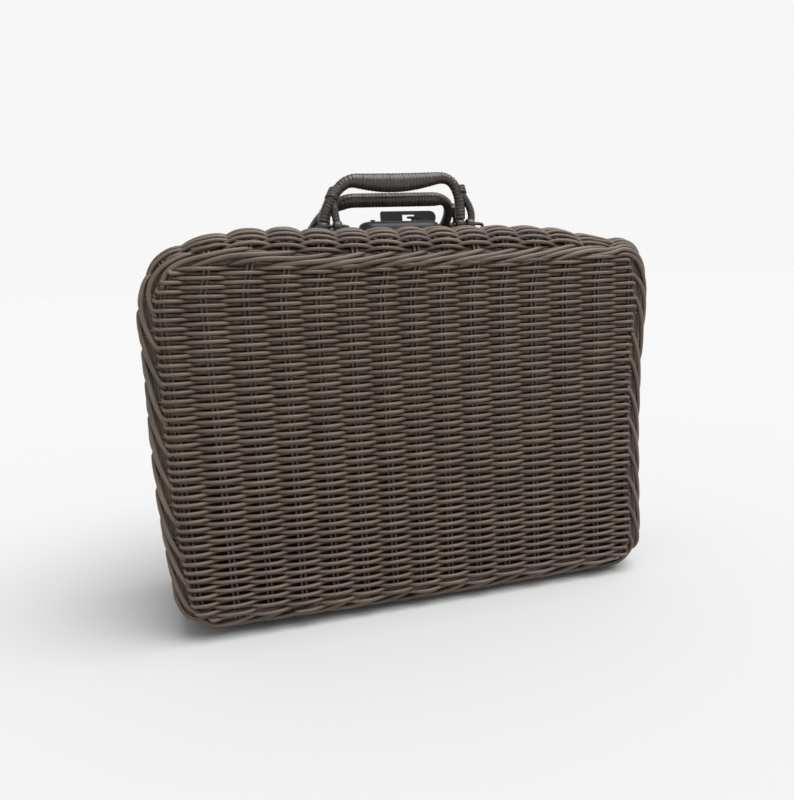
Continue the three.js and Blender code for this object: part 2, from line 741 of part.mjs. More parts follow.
function hingeLeaf(knuckles, side) {
  const base = HINGE_FLOOR_GAP - HINGE_AXIS_HEIGHT;
  const plate = new THREE.ExtrudeGeometry(leafOutline(knuckles), {
    depth: HINGE_LEAF_THICKNESS, bevelEnabled: false, curveSegments: 4,
  }).translate(0, 0, base);
  const barrels = knuckles.map(([from, to]) => barAlongX(
    HINGE_KNUCKLE_RADIUS, to - from, (from + to) / 2, 0, 0
  ));
  const bore = barAlongX(HINGE_PIN_RADIUS + HINGE_PIN_CLEARANCE, HINGE_WIDTH + 4, 0, 0, 0);
  const seats = SIDES.map(([, end]) => {
    const wide = RIVET_HEAD_RADIUS + SEAT_GAP;
    const narrow = RIVET_SHANK_RADIUS + SEAT_GAP;
    return new THREE.CylinderGeometry(narrow, wide, HINGE_LEAF_THICKNESS, SMALL_SIDES)
      .rotateX(Math.PI / 2)
      .scale(1, 1, 1.01)
      .translate(end * HINGE_RIVET_SPACING / 2, HINGE_RIVET_Y, base + HINGE_LEAF_THICKNESS / 2);
  });
  return forSide(cut(join([plate, ...barrels]), [bore, ...seats]), -side);
}

function hingePin() {
  const half = HINGE_WIDTH / 2;
  const head = HINGE_PIN_RADIUS * 1.7;
  const profile = [
    [0, -half - 1.4], [head * 0.8, -half - 1.4], [head, -half - 0.4], [HINGE_PIN_RADIUS, -half - 0.4],
    [HINGE_PIN_RADIUS, half + 0.4], [head, half + 0.4], [head * 0.8, half + 1.4], [0, half + 1.4],
  ];
  const points = profile.map(([x, y]) => new THREE.Vector2(x, y));
  return new THREE.LatheGeometry(points, SMALL_SIDES).rotateZ(Math.PI / 2);
}

function buildHinge(group, name, x) {
  const third = HINGE_WIDTH / 3;
  const gap = HINGE_KNUCKLE_GAP / 2;
  const outer = [[-1.5 * third, -0.5 * third - gap], [0.5 * third + gap, 1.5 * third]];
  const inner = [[-0.5 * third + gap, 0.5 * third - gap]];
  const hinge = new THREE.Group();
  hinge.position.set(x, 0, HINGE_AXIS_HEIGHT);
  hinge.add(placed(`hinge_${name}_front_leaf`, hingeLeaf(outer, -1), blackFinish()));
  hinge.add(placed(`hinge_${name}_back_leaf`, hingeLeaf(inner, 1), blackFinish()));
  hinge.add(placed(`hinge_${name}_pin`, hingePin(), blackFinish()));
  for (const [half, side] of [['front', -1], ['back', 1]]) {
    for (const [end, sign] of SIDES) {
      const grip = WEAVE_THICKNESS + SEAT_GAP - HINGE_FLOOR_GAP;
      const geometry = countersunkRivet(grip, HINGE_LEAF_THICKNESS).rotateX(Math.PI);
      const place = [sign * HINGE_RIVET_SPACING / 2, side * HINGE_RIVET_Y, HINGE_FLOOR_GAP - HINGE_AXIS_HEIGHT];
      hinge.add(placed(`hinge_${name}_${half}_rivet_${end}`, geometry, blackFinish(), ...place));
    }
  }
  group.add(hinge);
}

// Clasp plate: a long oval with a sloped upper edge
function ovalRing(inset, z) {
  const radius = PLATE_WIDTH / 2;
  const straight = PLATE_LENGTH / 2 - radius;
  return [
    ...arc(straight, 0, radius - inset, -90, 90, ROUND_SIDES),
    ...arc(-straight, 0, radius - inset, 90, 270, ROUND_SIDES),
  ].map(([x, y]) => [x, y, z]);
}

function claspPlate() {
  const rings = [
    ovalRing(0, 0),
    ovalRing(0, PLATE_THICKNESS - PLATE_BEVEL),
    ovalRing(PLATE_BEVEL * 0.3, PLATE_THICKNESS - PLATE_BEVEL * 0.3),
    ovalRing(PLATE_BEVEL, PLATE_THICKNESS),
  ];
  const rivets = SIDES.map(([, end]) => rivetHole(
    end * PLATE_RIVET_SPACING / 2, -CLASP_RIVET_Y - PLATE_Y, -1, PLATE_THICKNESS + 1
  ));
  const depth = BUTTON_STEM_DEPTH + SEAT_GAP;
  const stem = barAlongZ(
    BUTTON_STEM_RADIUS + SEAT_GAP, depth + 1, FLAP_OFFSET - PLATE_OFFSET, -BUTTON_SETBACK - PLATE_Y,
    PLATE_THICKNESS + (1 - depth) / 2
  );
  return cut(loft(rings, false), [...rivets, stem]);
}

function turnButton() {
  const shape = new THREE.Shape();
  const radius = BUTTON_WIDTH / 2 - 0.4;
  const straight = BUTTON_LENGTH / 2 - BUTTON_WIDTH / 2;
  shape.absarc(straight, 0, radius, -Math.PI / 2, Math.PI / 2, false);
  shape.absarc(-straight, 0, radius, Math.PI / 2, 1.5 * Math.PI, false);
  const wing = new THREE.ExtrudeGeometry(shape, {
    depth: BUTTON_HEIGHT - 0.8, bevelThickness: 0.4, bevelSize: 0.4, bevelSegments: 1, curveSegments: 4,
  }).translate(0, 0, 0.4);
  const stemLength = BUTTON_STEM_DEPTH + 2 * FLAP_PLATE_GAP + FLAP_THICKNESS + 0.5;
  const stem = barAlongZ(BUTTON_STEM_RADIUS, stemLength, 0, 0, 0.5 - stemLength / 2);
  return join([wing, stem]);
}

// Flap and its leaf, drawn about the flap's pin. The flap stands behind the
// pin by a step, so that it lies over the clasp plate when it is down.
const BARREL_HALF = FLAP_WIDTH / 2 - FLAP_KNUCKLE_LENGTH - FLAP_KNUCKLE_GAP;

function flapOutline() {
  const half = FLAP_WIDTH / 2;
  const round = 6;
  const shape = new THREE.Shape();
  shape.moveTo(-half, FLAP_HEEL);
  shape.lineTo(half - 5, FLAP_HEEL);
  shape.quadraticCurveTo(half - 2, FLAP_HEEL + 1, half, FLAP_LENGTH - round);
  shape.quadraticCurveTo(half, FLAP_LENGTH, half - round, FLAP_LENGTH);
  shape.lineTo(-half + 1, FLAP_LENGTH);
  shape.lineTo(-half, FLAP_LENGTH - 1);
  shape.lineTo(-half, FLAP_HEEL);
  return shape;
}

function claspFlap() {
  const plate = new THREE.ExtrudeGeometry(flapOutline(), {
    depth: FLAP_THICKNESS, bevelEnabled: false, curveSegments: 5,
  }).rotateX(Math.PI / 2).translate(0, FLAP_STEP + FLAP_THICKNESS, 0);
  const reach = FLAP_STEP + FLAP_THICKNESS / 2;
  const web = new THREE.BoxGeometry(2 * BARREL_HALF, reach, FLAP_THICKNESS)
    .translate(0, reach / 2, FLAP_HEEL + FLAP_THICKNESS / 2);
  const barrel = barAlongX(FLAP_KNUCKLE_RADIUS, 2 * BARREL_HALF, 0, 0, 0);
  const bore = barAlongX(FLAP_PIN_RADIUS + FLAP_PIN_CLEARANCE, FLAP_WIDTH, 0, 0, 0);
  const slot = new THREE.BoxGeometry(
    BUTTON_LENGTH + 2 * BUTTON_CLEARANCE, 3 * FLAP_THICKNESS, FLAP_SLOT_FAR - FLAP_SLOT_NEAR
  ).translate(0, FLAP_STEP + FLAP_THICKNESS / 2, (FLAP_SLOT_NEAR + FLAP_SLOT_FAR) / 2);
  return cut(join([plate, web, barrel]), [bore, slot]);
}

// Side view of a leaf knuckle, standing on the leaf
function knuckleOutline(foot) {
  const shape = new THREE.Shape();
  shape.moveTo(-FLAP_KNUCKLE_RADIUS, foot);
  shape.lineTo(FLAP_KNUCKLE_RADIUS + 1.2, foot);
  shape.lineTo(FLAP_KNUCKLE_RADIUS, 0);
  shape.absarc(0, 0, FLAP_KNUCKLE_RADIUS, 0, Math.PI, false);
  shape.lineTo(-FLAP_KNUCKLE_RADIUS, foot);
  return shape;
}

function flapLeaf() {
  const foot = CASE_HEIGHT + SEAT_GAP - FLAP_AXIS_HEIGHT;
  const front = -FLAP_KNUCKLE_RADIUS;
  const base = new THREE.BoxGeometry(FLAP_WIDTH, FLAP_LEAF_LENGTH - front, FLAP_LEAF_THICKNESS)
    .translate(0, (FLAP_LEAF_LENGTH + front) / 2, foot + FLAP_LEAF_THICKNESS / 2);
  const knuckles = SIDES.map(([, end]) => {
    const inner = end * (FLAP_WIDTH / 2 - FLAP_KNUCKLE_LENGTH / 2);
    return new THREE.ExtrudeGeometry(knuckleOutline(foot), {
      depth: FLAP_KNUCKLE_LENGTH, bevelEnabled: false, curveSegments: 4,
    })
      .rotateY(Math.PI / 2)
      .rotateX(Math.PI / 2)
      .translate(inner - FLAP_KNUCKLE_LENGTH / 2, 0, 0);
  });
  const bore = barAlongX(FLAP_PIN_RADIUS + FLAP_PIN_CLEARANCE, FLAP_WIDTH + 4, 0, 0, 0);
  const rivets = SIDES.map(([, end]) => rivetHole(
    end * FLAP_RIVET_SPACING / 2, CLASP_RIVET_Y - FLAP_AXIS_SETBACK, foot - 1, foot + FLAP_LEAF_THICKNESS + 1
  ));
  return cut(join([base, ...knuckles]), [bore, ...rivets]);
}

function flapPin() {
  return barAlongX(FLAP_PIN_RADIUS, FLAP_WIDTH + 2, 0, 0, 0, SMALL_SIDES);
}

function buildClasp(group) {
  group.add(placed('clasp_plate', claspPlate(), blackFinish(), PLATE_OFFSET, PLATE_Y, PLATE_BASE));
  for (const [name, x, y] of claspRivets(-1)) {
    const geometry = domedRivet(PLATE_THICKNESS + WEAVE_THICKNESS + 2 * SEAT_GAP);
    group.add(placed(`clasp_plate_rivet_${name}`, geometry, blackFinish(), x, y, PLATE_TOP));
  }
  const buttonBase = PLATE_TOP + 2 * FLAP_PLATE_GAP + FLAP_THICKNESS;
  group.add(placed('turn_button', turnButton(), blackFinish(), FLAP_OFFSET, -BUTTON_SETBACK, buttonBase));
  const axis = new THREE.Group();
  axis.position.set(FLAP_OFFSET, FLAP_AXIS_SETBACK, FLAP_AXIS_HEIGHT);
  axis.add(placed('flap_leaf', flapLeaf(), blackFinish()));
  axis.add(placed('flap_pin', flapPin(), blackFinish()));
  const flap = placed('clasp_flap', claspFlap(), blackFinish());
  flap.rotation.x = THREE.MathUtils.degToRad(-FLAP_LEAN);
  axis.add(flap);
  group.add(axis);
  for (const [name, x, y] of claspRivets(1)) {
    const geometry = domedRivet(FLAP_LEAF_THICKNESS + WEAVE_THICKNESS + 2 * SEAT_GAP);
    const seat = CASE_HEIGHT + SEAT_GAP + FLAP_LEAF_THICKNESS;
    group.add(placed(`flap_leaf_rivet_${name}`, geometry, blackFinish(), x, y, seat));
  }
}

// Assembly
const group = new THREE.Group();
buildHalf(group, 'front', -1);
buildHalf(group, 'back', 1);
buildHandle(group, 'front', -1, 0, FRONT_WRAP_RADIUS, FRONT_WRAP_BELLY);
buildHandle(group, 'back', 1, BACK_HANDLE_LEAN, BACK_WRAP_RADIUS, 0);
buildHinge(group, 'left', hingeX(-1));
buildHinge(group, 'right', hingeX(1));
buildClasp(group);

export default group;
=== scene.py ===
"""A woven cane picnic case of two equal halves, standing closed on a pale floor."""

import math

import bpy
import numpy as np
from mathutils import Matrix, Vector


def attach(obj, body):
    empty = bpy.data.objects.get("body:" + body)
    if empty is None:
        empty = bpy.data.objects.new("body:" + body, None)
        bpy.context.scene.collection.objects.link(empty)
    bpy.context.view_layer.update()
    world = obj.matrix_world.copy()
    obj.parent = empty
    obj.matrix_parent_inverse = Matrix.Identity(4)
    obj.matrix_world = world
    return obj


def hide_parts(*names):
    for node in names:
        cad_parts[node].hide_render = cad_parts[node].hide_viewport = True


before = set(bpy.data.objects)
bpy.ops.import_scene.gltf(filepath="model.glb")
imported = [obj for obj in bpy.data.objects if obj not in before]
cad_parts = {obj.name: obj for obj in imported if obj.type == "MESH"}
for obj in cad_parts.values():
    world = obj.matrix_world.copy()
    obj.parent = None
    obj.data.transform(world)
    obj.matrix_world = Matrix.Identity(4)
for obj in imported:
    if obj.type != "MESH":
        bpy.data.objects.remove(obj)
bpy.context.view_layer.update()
bpy.ops.object.select_all(action="DESELECT")
MM = 0.001


# Stakes of the woven halves. Each half is a deep tray of round cane, woven damp
# over pairs of stakes on a mould with two wide and two tight corners, bowed sides
# and a rounded edge. The stakes run up the face and over its edges to the seam.
HALF_WIDTH = 203.0
SIDE_BOW = 4.0
TOP_BOW = 8.0
CASE_HEIGHT = 302.0
TOP_CORNER = 42.0
BOTTOM_CORNER = 26.0
EDGE = 24.0
FACE = 80.0
QUARTER = EDGE * math.pi / 2
OUTLINE_POINTS = 2800
CORNER_BLEND = 22


def case_outline():
    """Points clockwise round the case seen from the front, from the middle of its top."""
    upper = HALF_WIDTH - TOP_CORNER
    lower = HALF_WIDTH - BOTTOM_CORNER
    shoulder = CASE_HEIGHT - TOP_BOW - TOP_CORNER
    heel = BOTTOM_CORNER
    t = np.linspace(0, 1, OUTLINE_POINTS // 14, endpoint=False)

    def corner(x, z, radius, start, end):
        angle = np.radians(start + (end - start) * t)
        return np.c_[x + radius * np.cos(angle), z + radius * np.sin(angle)]

    def top(start, end):
        share = start + (end - start) * t
        return np.c_[upper * share, CASE_HEIGHT - TOP_BOW * share**4]

    def side(sign, start, end):
        share = start + (end - start) * t
        middle, reach = (shoulder + heel) / 2, (shoulder - heel) / 2
        return np.c_[sign * (HALF_WIDTH + SIDE_BOW * (1 - share**2)), middle + reach * share]

    lines = [
        top(0, 1),
        corner(upper, shoulder, TOP_CORNER, 90, 0),
        side(1, 1, -1),
        corner(lower, heel, BOTTOM_CORNER, 0, -90),
        np.c_[lower * (1 - 2 * t), 0 * t],
        corner(-lower, heel, BOTTOM_CORNER, -90, -180),
        side(-1, -1, 1),
        corner(-upper, shoulder, TOP_CORNER, 180, 90),
        top(-1, 0),
    ]
    raw = np.concatenate(lines)
    step = np.linalg.norm(np.diff(np.r_[raw, raw[:1]], axis=0), axis=1)
    length = np.r_[0, np.cumsum(step)]
    at = np.arange(OUTLINE_POINTS) * length[-1] / OUTLINE_POINTS
    even = np.c_[
        np.interp(at, length, np.r_[raw[:, 0], raw[0, 0]]),
        np.interp(at, length, np.r_[raw[:, 1], raw[0, 1]]),
    ]
    blend = range(-CORNER_BLEND, CORNER_BLEND + 1)
    soft = sum(np.roll(even, shift, axis=0) for shift in blend) / len(blend)
    along = np.roll(soft, -1, axis=0) - np.roll(soft, 1, axis=0)
    along /= np.linalg.norm(along, axis=1)[:, None]
    return length[-1], soft, np.c_[-along[:, 1], along[:, 0]]


ROUND, OUTLINE, OUTWARD = case_outline()


def around_case(s, values):
    """A column of the outline's points or directions at lengths s round the case."""
    place = np.asarray(s, float) / ROUND * len(values)
    low = np.floor(place).astype(int)
    share = place - low
    return values[low % len(values)] * (1 - share) + values[(low + 1) % len(values)] * share


def short_side(s):
    """One along the short sides, nought along the top and the bottom."""
    return np.clip((np.abs(around_case(s, OUTWARD[:, 0])) - 0.5) / 0.4, 0, 1)


def upper_corner(s):
    """One at the middle of each upper corner, nought elsewhere."""
    return np.clip(2 * around_case(s, OUTWARD[:, 1]) * np.abs(around_case(s, OUTWARD[:, 0])), 0, 1)


def hump(value, middle, spread):
    """One at the middle, falling off smoothly on both sides."""
    return np.exp(-(((value - middle) / spread) ** 2))


def fading(v, start, length):
    """One up to the start, falling smoothly to nought over the length."""
    return 0.5 + 0.5 * np.cos(math.pi * np.clip((v - start) / length, 0, 1))


HEEL_IN = 5.5
SHOULDER_OUT = {"left": 4.4, "right": 3.0}
SHOULDER_Z = 246
CORNER_OUT = {"left": 1.2, "right": 6.2}
SIDE_IN = {"left": -1.6, "right": 6.4}
SIDE_LOW, SIDE_LENGTH = 25, 215
TOP_SLACK, SLACK_X = 3.0, 160
TOP_SWELL, SWELL_X = 4.5, -135
BELLY_IN = 2.0
LEFT_BELLY_IN = 2.8


def settled(s, v):
    """How far the woven edge stands in from the mould once the half has dried.

    Its heels are rounder, its shoulders stand out, the right side dips in and the left
    one swells, and the top is slack near its right end and full near its left.
    """
    across, up = around_case(s, OUTWARD[:, 0]), around_case(s, OUTWARD[:, 1])
    x, z = around_case(s, OUTLINE[:, 0]), around_case(s, OUTLINE[:, 1])

    def by_side(sizes):
        return np.where(across > 0, sizes["right"], sizes["left"])

    heel = HEEL_IN * np.clip(-2 * up * np.abs(across), 0, 1)
    shoulder = -by_side(SHOULDER_OUT) * hump(z, SHOULDER_Z, 34) * np.abs(across)
    shoulder = shoulder - by_side(CORNER_OUT) * upper_corner(s) ** 2
    height = np.clip((z - SIDE_LOW) / SIDE_LENGTH, 0, 1)
    dip = short_side(s) * np.sin(math.pi * height) * by_side(SIDE_IN)
    near_edge = fading(v, EDGE, 36)
    slack = TOP_SLACK * hump(x, SLACK_X, 28) * np.clip(v / 22, 0, 1)
    crown = (slack - TOP_SWELL * hump(x, SWELL_X, 48)) * np.clip(up, 0, 1)
    leftward = np.clip((-x - 20) / 130, 0, 1) * near_edge
    belly = np.clip(-up * 2 - 0.8, 0, 1) * (BELLY_IN + LEFT_BELLY_IN * leftward)
    return (heel + shoulder + dip) * near_edge + crown * fading(v, 55, 26) + belly


def on_form(s, v, h):
    """A point on the front half: s round the case, v from the face to the seam, h out of the form."""
    s, v, h = np.broadcast_arrays(np.asarray(s, float), np.asarray(v, float), np.asarray(h, float))
    angle = np.clip(v / EDGE, 0, math.pi / 2)
    inset = EDGE * (1 - np.sin(angle)) - np.minimum(v, 0) - h * np.sin(angle) + settled(s, v)
    depth = EDGE - FACE - EDGE * np.cos(angle) + np.maximum(v - QUARTER, 0) - h * np.cos(angle)
    x = around_case(s, OUTLINE[:, 0]) - inset * around_case(s, OUTWARD[:, 0])
    z = around_case(s, OUTLINE[:, 1]) - inset * around_case(s, OUTWARD[:, 1])
    return np.stack([x, depth, z], axis=-1)


def out_of_form(s, v):
    """The direction straight out of the form."""
    return on_form(s, v, 1.0) - on_form(s, v, 0.0)


# Every cane is a real tube that follows its own path, a little unevenly.
random = np.random.default_rng(7)
# Painted shade: where a cane's surface lies more than SHADE_STARTS under the form, its colour darkens
# over the next SHADE_DEPTH.
SHADE_STARTS = 1.6
SHADE_DEPTH = 4.8


def cane(path, out, radius, sides=8, closed=False, flat=1.0, height=3.0):
    """One tube: its points, faces, UV corners and end caps, its tone, and the painted shade of each
    point, darker the deeper it lies.

    The radius, the flatness and the height over the form may change along the path.
    """
    path = np.asarray(path, float)
    count = len(path)
    if closed:
        along = np.roll(path, -1, axis=0) - np.roll(path, 1, axis=0)
        step = np.linalg.norm(np.roll(path, -1, axis=0) - path, axis=1)
    else:
        along = np.gradient(path, axis=0)
        step = np.linalg.norm(np.diff(path, axis=0), axis=1)
    along /= np.linalg.norm(along, axis=1)[:, None] + 1e-12
    across = np.cross(along, np.broadcast_to(out, path.shape))
    across /= np.linalg.norm(across, axis=1)[:, None] + 1e-12
    up = np.cross(across, along)
    radius = np.broadcast_to(radius, count)[:, None, None]
    flat = np.broadcast_to(flat, count)[:, None, None]
    angle = np.arange(sides) * 2 * math.pi / sides
    ring = np.cos(angle)[None, :, None] * up[:, None] * flat
    ring = ring + np.sin(angle)[None, :, None] * across[:, None]
    points = (path[:, None] + radius * ring).reshape(-1, 3)
    lift = np.broadcast_to(height, count)[:, None] + radius[:, :, 0] * np.cos(angle)[None, :]
    # Painted shade, darker the deeper the point lies in the weave
    sunk_shade = np.clip((-lift - SHADE_STARTS) / SHADE_DEPTH, 0, 1).ravel()
    length = np.r_[0, np.cumsum(step)]
    spans = count if closed else count - 1
    i, j = np.meshgrid(np.arange(spans), np.arange(sides), indexing="ij")
    i, j = i.ravel(), j.ravel()
    here, there = i * sides, ((i + 1) % count) * sides
    turn = (j + 1) % sides
    faces = np.c_[here + j, here + turn, there + turn, there + j]
    low, high = length[i], length[np.minimum(i + 1, len(length) - 1)]
    corners = np.stack(
        [
            np.c_[low, j / sides],
            np.c_[low, (j + 1) / sides],
            np.c_[high, (j + 1) / sides],
            np.c_[high, j / sides],
        ],
        axis=1,
    )
    ends = []
    if not closed:
        ends = [np.arange(sides)[::-1], (count - 1) * sides + np.arange(sides)]
    return points, faces, corners, ends, random.random(), sunk_shade


def cane_piece(name, canes, mirrored=False):
    """One mesh of many canes, in metres, with UVs along and round each, a tone of its own, and each
    point's painted shade.

    The back half is the front one turned half a turn about the upright.
    """
    points, loops, starts, uvs, tones, shade_values = [], [], [], [], [], []
    first = 0
    corner = 0
    for made, faces, corners, ends, tone, sunk_shade in canes:
        points.append(made)
        loops.append((faces + first).ravel())
        starts.append(corner + 4 * np.arange(len(faces)))
        corner += 4 * len(faces)
        uvs.append(corners.reshape(-1, 2))
        for end in ends:
            loops.append(end + first)
            starts.append([corner])
            corner += len(end)
            uvs.append(np.tile([0.0, 0.5], (len(end), 1)))
        tones.append(np.full(len(made), tone))
        shade_values.append(sunk_shade)
        first += len(made)
    points = np.concatenate(points) * MM
    loops = np.concatenate(loops)
    starts = np.concatenate(starts)
    uvs = np.concatenate(uvs)
    if mirrored:
        points = points * [-1, -1, 1]
    mesh = bpy.data.meshes.new(name)
    mesh.vertices.add(len(points))
    mesh.vertices.foreach_set("co", points.ravel())
    mesh.loops.add(len(loops))
    mesh.loops.foreach_set("vertex_index", loops)
    mesh.polygons.add(len(starts))
    mesh.polygons.foreach_set("loop_start", starts)
    mesh.update(calc_edges=True)
    layer = mesh.uv_layers.new(name="UVMap")
    layer.data.foreach_set("uv", uvs.astype(np.float32).ravel())
    tone = mesh.attributes.new("tone", "FLOAT", "POINT")
    tone.data.foreach_set("value", np.concatenate(tones).astype(np.float32))
    # Each point's painted shade goes to the finish as an attribute
    depth = mesh.attributes.new("sunk_shade", "FLOAT", "POINT")
    depth.data.foreach_set("value", np.concatenate(shade_values).astype(np.float32))
    mesh.polygons.foreach_set("use_smooth", np.ones(len(starts), bool))
    mesh.validate()
    piece = bpy.data.objects.new(name, mesh)
    bpy.context.scene.collection.objects.link(piece)
    return piece


STAKE = 1.2
PAIR = 1.7
WEAVE_DEPTH = -3.1
FACE_PAIRS = 15
SIDE_PAIRS = 10
FIRST_PAIR = -183.3
PAIR_SPACING = 26.0
PAIR_DRIFT = 3.8
PAIR_CROWDING = 5.1
V_RIM = QUARTER + FACE - EDGE - 12.5
STAKES_BOTTOM = 15
STAKES_TOP = 270
STAKE_WANDER = 0.1
UNDER_BORDER = 4
SIDE_UNDER_BORDER = 9

# How far single pairs, by their number from the left, stand off their even spacing
TOP_LEANS = ([0, 1, 2, 12, 13, 14], [-6.0, -5.0, -2.4, -1.8, -0.8, 2.6])
BOTTOM_LEANS = ([0, 1, 2, 8, 14], [-2.0, -1.5, -3.0, -2.5, 0.5])
LEAN_HEIGHT = 250


def stakes_at(z):
    """Where the face stakes cross this height: they lean out a little towards the top corners."""
    k = np.arange(FACE_PAIRS)
    turn = math.pi * k / (FACE_PAIRS - 1)
    even = FIRST_PAIR + PAIR_SPACING * k - PAIR_DRIFT * np.sin(turn) + PAIR_CROWDING * np.sin(2 * turn)
    top, bottom = np.interp(k, *TOP_LEANS), np.interp(k, *BOTTOM_LEANS)
    share = np.clip((z - STAKES_BOTTOM) / LEAN_HEIGHT, 0, 1)
    return even + bottom + (top - bottom) * share


# How far the border's middle lies in from the outline, at even steps from the
# middle of the top round the upper corner and down the side
BORDER_INSETS = [24.2, 22.2, 18.6, 14.6, 12.8, 8.6, 5.4]
INSETS_START = 82
INSET_STEP = 24
RIGHT_INSET = 5.2


def border_middle(s):
    """Where the roped border's middle lies: on the face along the top, over the edge elsewhere."""
    away = np.abs((np.asarray(s, float) + ROUND / 2) % ROUND - ROUND / 2)
    last = len(BORDER_INSETS) - 1
    blurs = (-12, -6, 0, 6, 12)
    reach = [np.clip((away + blur - INSETS_START) / INSET_STEP, 0, last) for blur in blurs]
    inset = sum(np.interp(r, np.arange(last + 1), BORDER_INSETS) for r in reach) / len(blurs)
    inset = inset + RIGHT_INSET * np.clip((around_case(s, OUTWARD[:, 0]) - 0.4) / 0.5, 0, 1)
    return np.where(inset > EDGE, EDGE - inset, EDGE * np.arcsin(np.clip(1 - inset / EDGE, 0, 1)))


def length_at(x, upper):
    """How far round the case a stake from this x on the face meets the top or the bottom wall."""
    s = np.linspace(-ROUND / 2, ROUND / 2, 4001)
    place = on_form(s, border_middle(s), 0)
    up = around_case(s, OUTWARD[:, 1])
    far = up < 0.25 if upper else up > -0.5
    return s[np.argmin(np.abs(place[:, 0] - x) + 1000 * far)]


GATHER = 0.06
TOP_DRIFT = 5.0


def gathered(v):
    """How far the top wall's stakes have drawn together on their way to the seam."""
    return np.clip((v - 8) / 60, 0, 1)


def wall_stakes():
    """Lengths round the case of every stake pair, clockwise from the top left."""
    top = [length_at(x, True) + TOP_DRIFT for x in stakes_at(STAKES_TOP)]
    bottom = [length_at(x, False) % ROUND for x in stakes_at(STAKES_BOTTOM)[::-1]]
    right = np.linspace(top[-1], bottom[0], SIDE_PAIRS + 2)[1:-1]
    left = np.linspace(bottom[-1], top[0] + ROUND, SIDE_PAIRS + 2)[1:-1]
    return np.array([*top, *right, *bottom, *left])


WALL_STAKES = wall_stakes()


def half_stakes():
    """Fifteen pairs in one length from seam to seam over the face, and ten in each short side."""
    made = []
    for k in range(FACE_PAIRS):
        for off in (-PAIR, PAIR):
            upper = WALL_STAKES[k] + off
            lower = length_at(stakes_at(STAKES_BOTTOM)[k] + off, False)
            down = np.linspace(V_RIM, float(border_middle(upper)) - UNDER_BORDER, 15)
            top = on_form(upper / (1 + GATHER * gathered(down)), down, WEAVE_DEPTH)
            up = np.linspace(float(border_middle(lower)) - UNDER_BORDER, V_RIM, 15)
            bottom = on_form(lower, up, WEAVE_DEPTH)
            reach = np.linspace(0, 1, 26)[1:-1]
            straight = top[-1] + (bottom[0] - top[-1]) * reach[:, None]
            hold = np.clip(np.minimum(reach * 12, (1 - reach) * 14), 0, 1)
            wanted = np.array([stakes_at(z)[k] for z in straight[:, 2]]) + off
            straight[:, 0] += (wanted - straight[:, 0]) * hold
            straight[:, 0] += random.normal(0, STAKE_WANDER, 24)
            path = np.r_[top, straight, bottom]
            made.append(cane(path, (0.0, -1.0, 0.0), STAKE, 6, height=WEAVE_DEPTH))
    for s in np.r_[WALL_STAKES[FACE_PAIRS : FACE_PAIRS + SIDE_PAIRS], WALL_STAKES[-SIDE_PAIRS:]]:
        for off in (-PAIR, PAIR):
            v = np.linspace(V_RIM, float(border_middle(s)) - SIDE_UNDER_BORDER, 16)
            path = on_form(s + off, v, WEAVE_DEPTH)
            made.append(cane(path, out_of_form(s + off, v), STAKE, 6, height=WEAVE_DEPTH))
    return made


# Face weaving. One long cane goes to and fro over one pair and under the next,
# and turns back round the last stake at each end. The rows are pressed down close,
# rise towards their ends higher up, and give way over the rounded edge.
CANE = 1.46
ROW = 3.17
FACE_BOTTOM = 14.33
FACE_ROWS = 83
LIFT = 3.35
POINT_STEP = 3.1
PRESSED = 1.25
TURN_REACH = 2.1
END_GAP = 1.5
END_RISE = 2.0
LEFT_END_RISE = 1.1
ROW_WOBBLE = 0.1
ROW_PRESS = 0.07
ROW_KNOTS = 36
ROW_HALF = 195
BORDER_HALF = 5.9
EDGE_WIDER = 2.7
CORNER_WIDER = 1.2
SIDE_WIDER = 1.2
BORDER_GAP = 0.4


def off_the_top(s):
    """One at the short sides and the bottom, nought along the top."""
    return np.clip((0.75 - around_case(s, OUTWARD[:, 1])) / 0.5, 0, 1)


def border_half(s):
    """Half the roped border's width: it is broader over the edge and at the upper corners."""
    wider = EDGE_WIDER * off_the_top(s) + CORNER_WIDER * upper_corner(s) + SIDE_WIDER * short_side(s)
    return BORDER_HALF + wider


def face_phase(x, z):
    """Half a turn from each stake pair to the next along a row of the face."""
    stakes = stakes_at(z)
    marks = np.r_[stakes[0] - PAIR_SPACING, stakes, stakes[-1] + PAIR_SPACING]
    return math.pi * np.interp(x, marks, np.arange(-1, FACE_PAIRS + 1))


def face_limits(v):
    """The left and right ends, at each row's height, of the line that runs round the form at v."""
    s = np.linspace(0, ROUND, 2400, endpoint=False)
    edge = on_form(s, v(s), 0)
    ends = []
    for z in FACE_BOTTOM + ROW * np.arange(FACE_ROWS):
        band = edge[np.abs(edge[:, 2] - z) < 2.0]
        ends.append((band[:, 0].min(), band[:, 0].max()) if len(band) else (-150, 150))
    return np.array(ends)


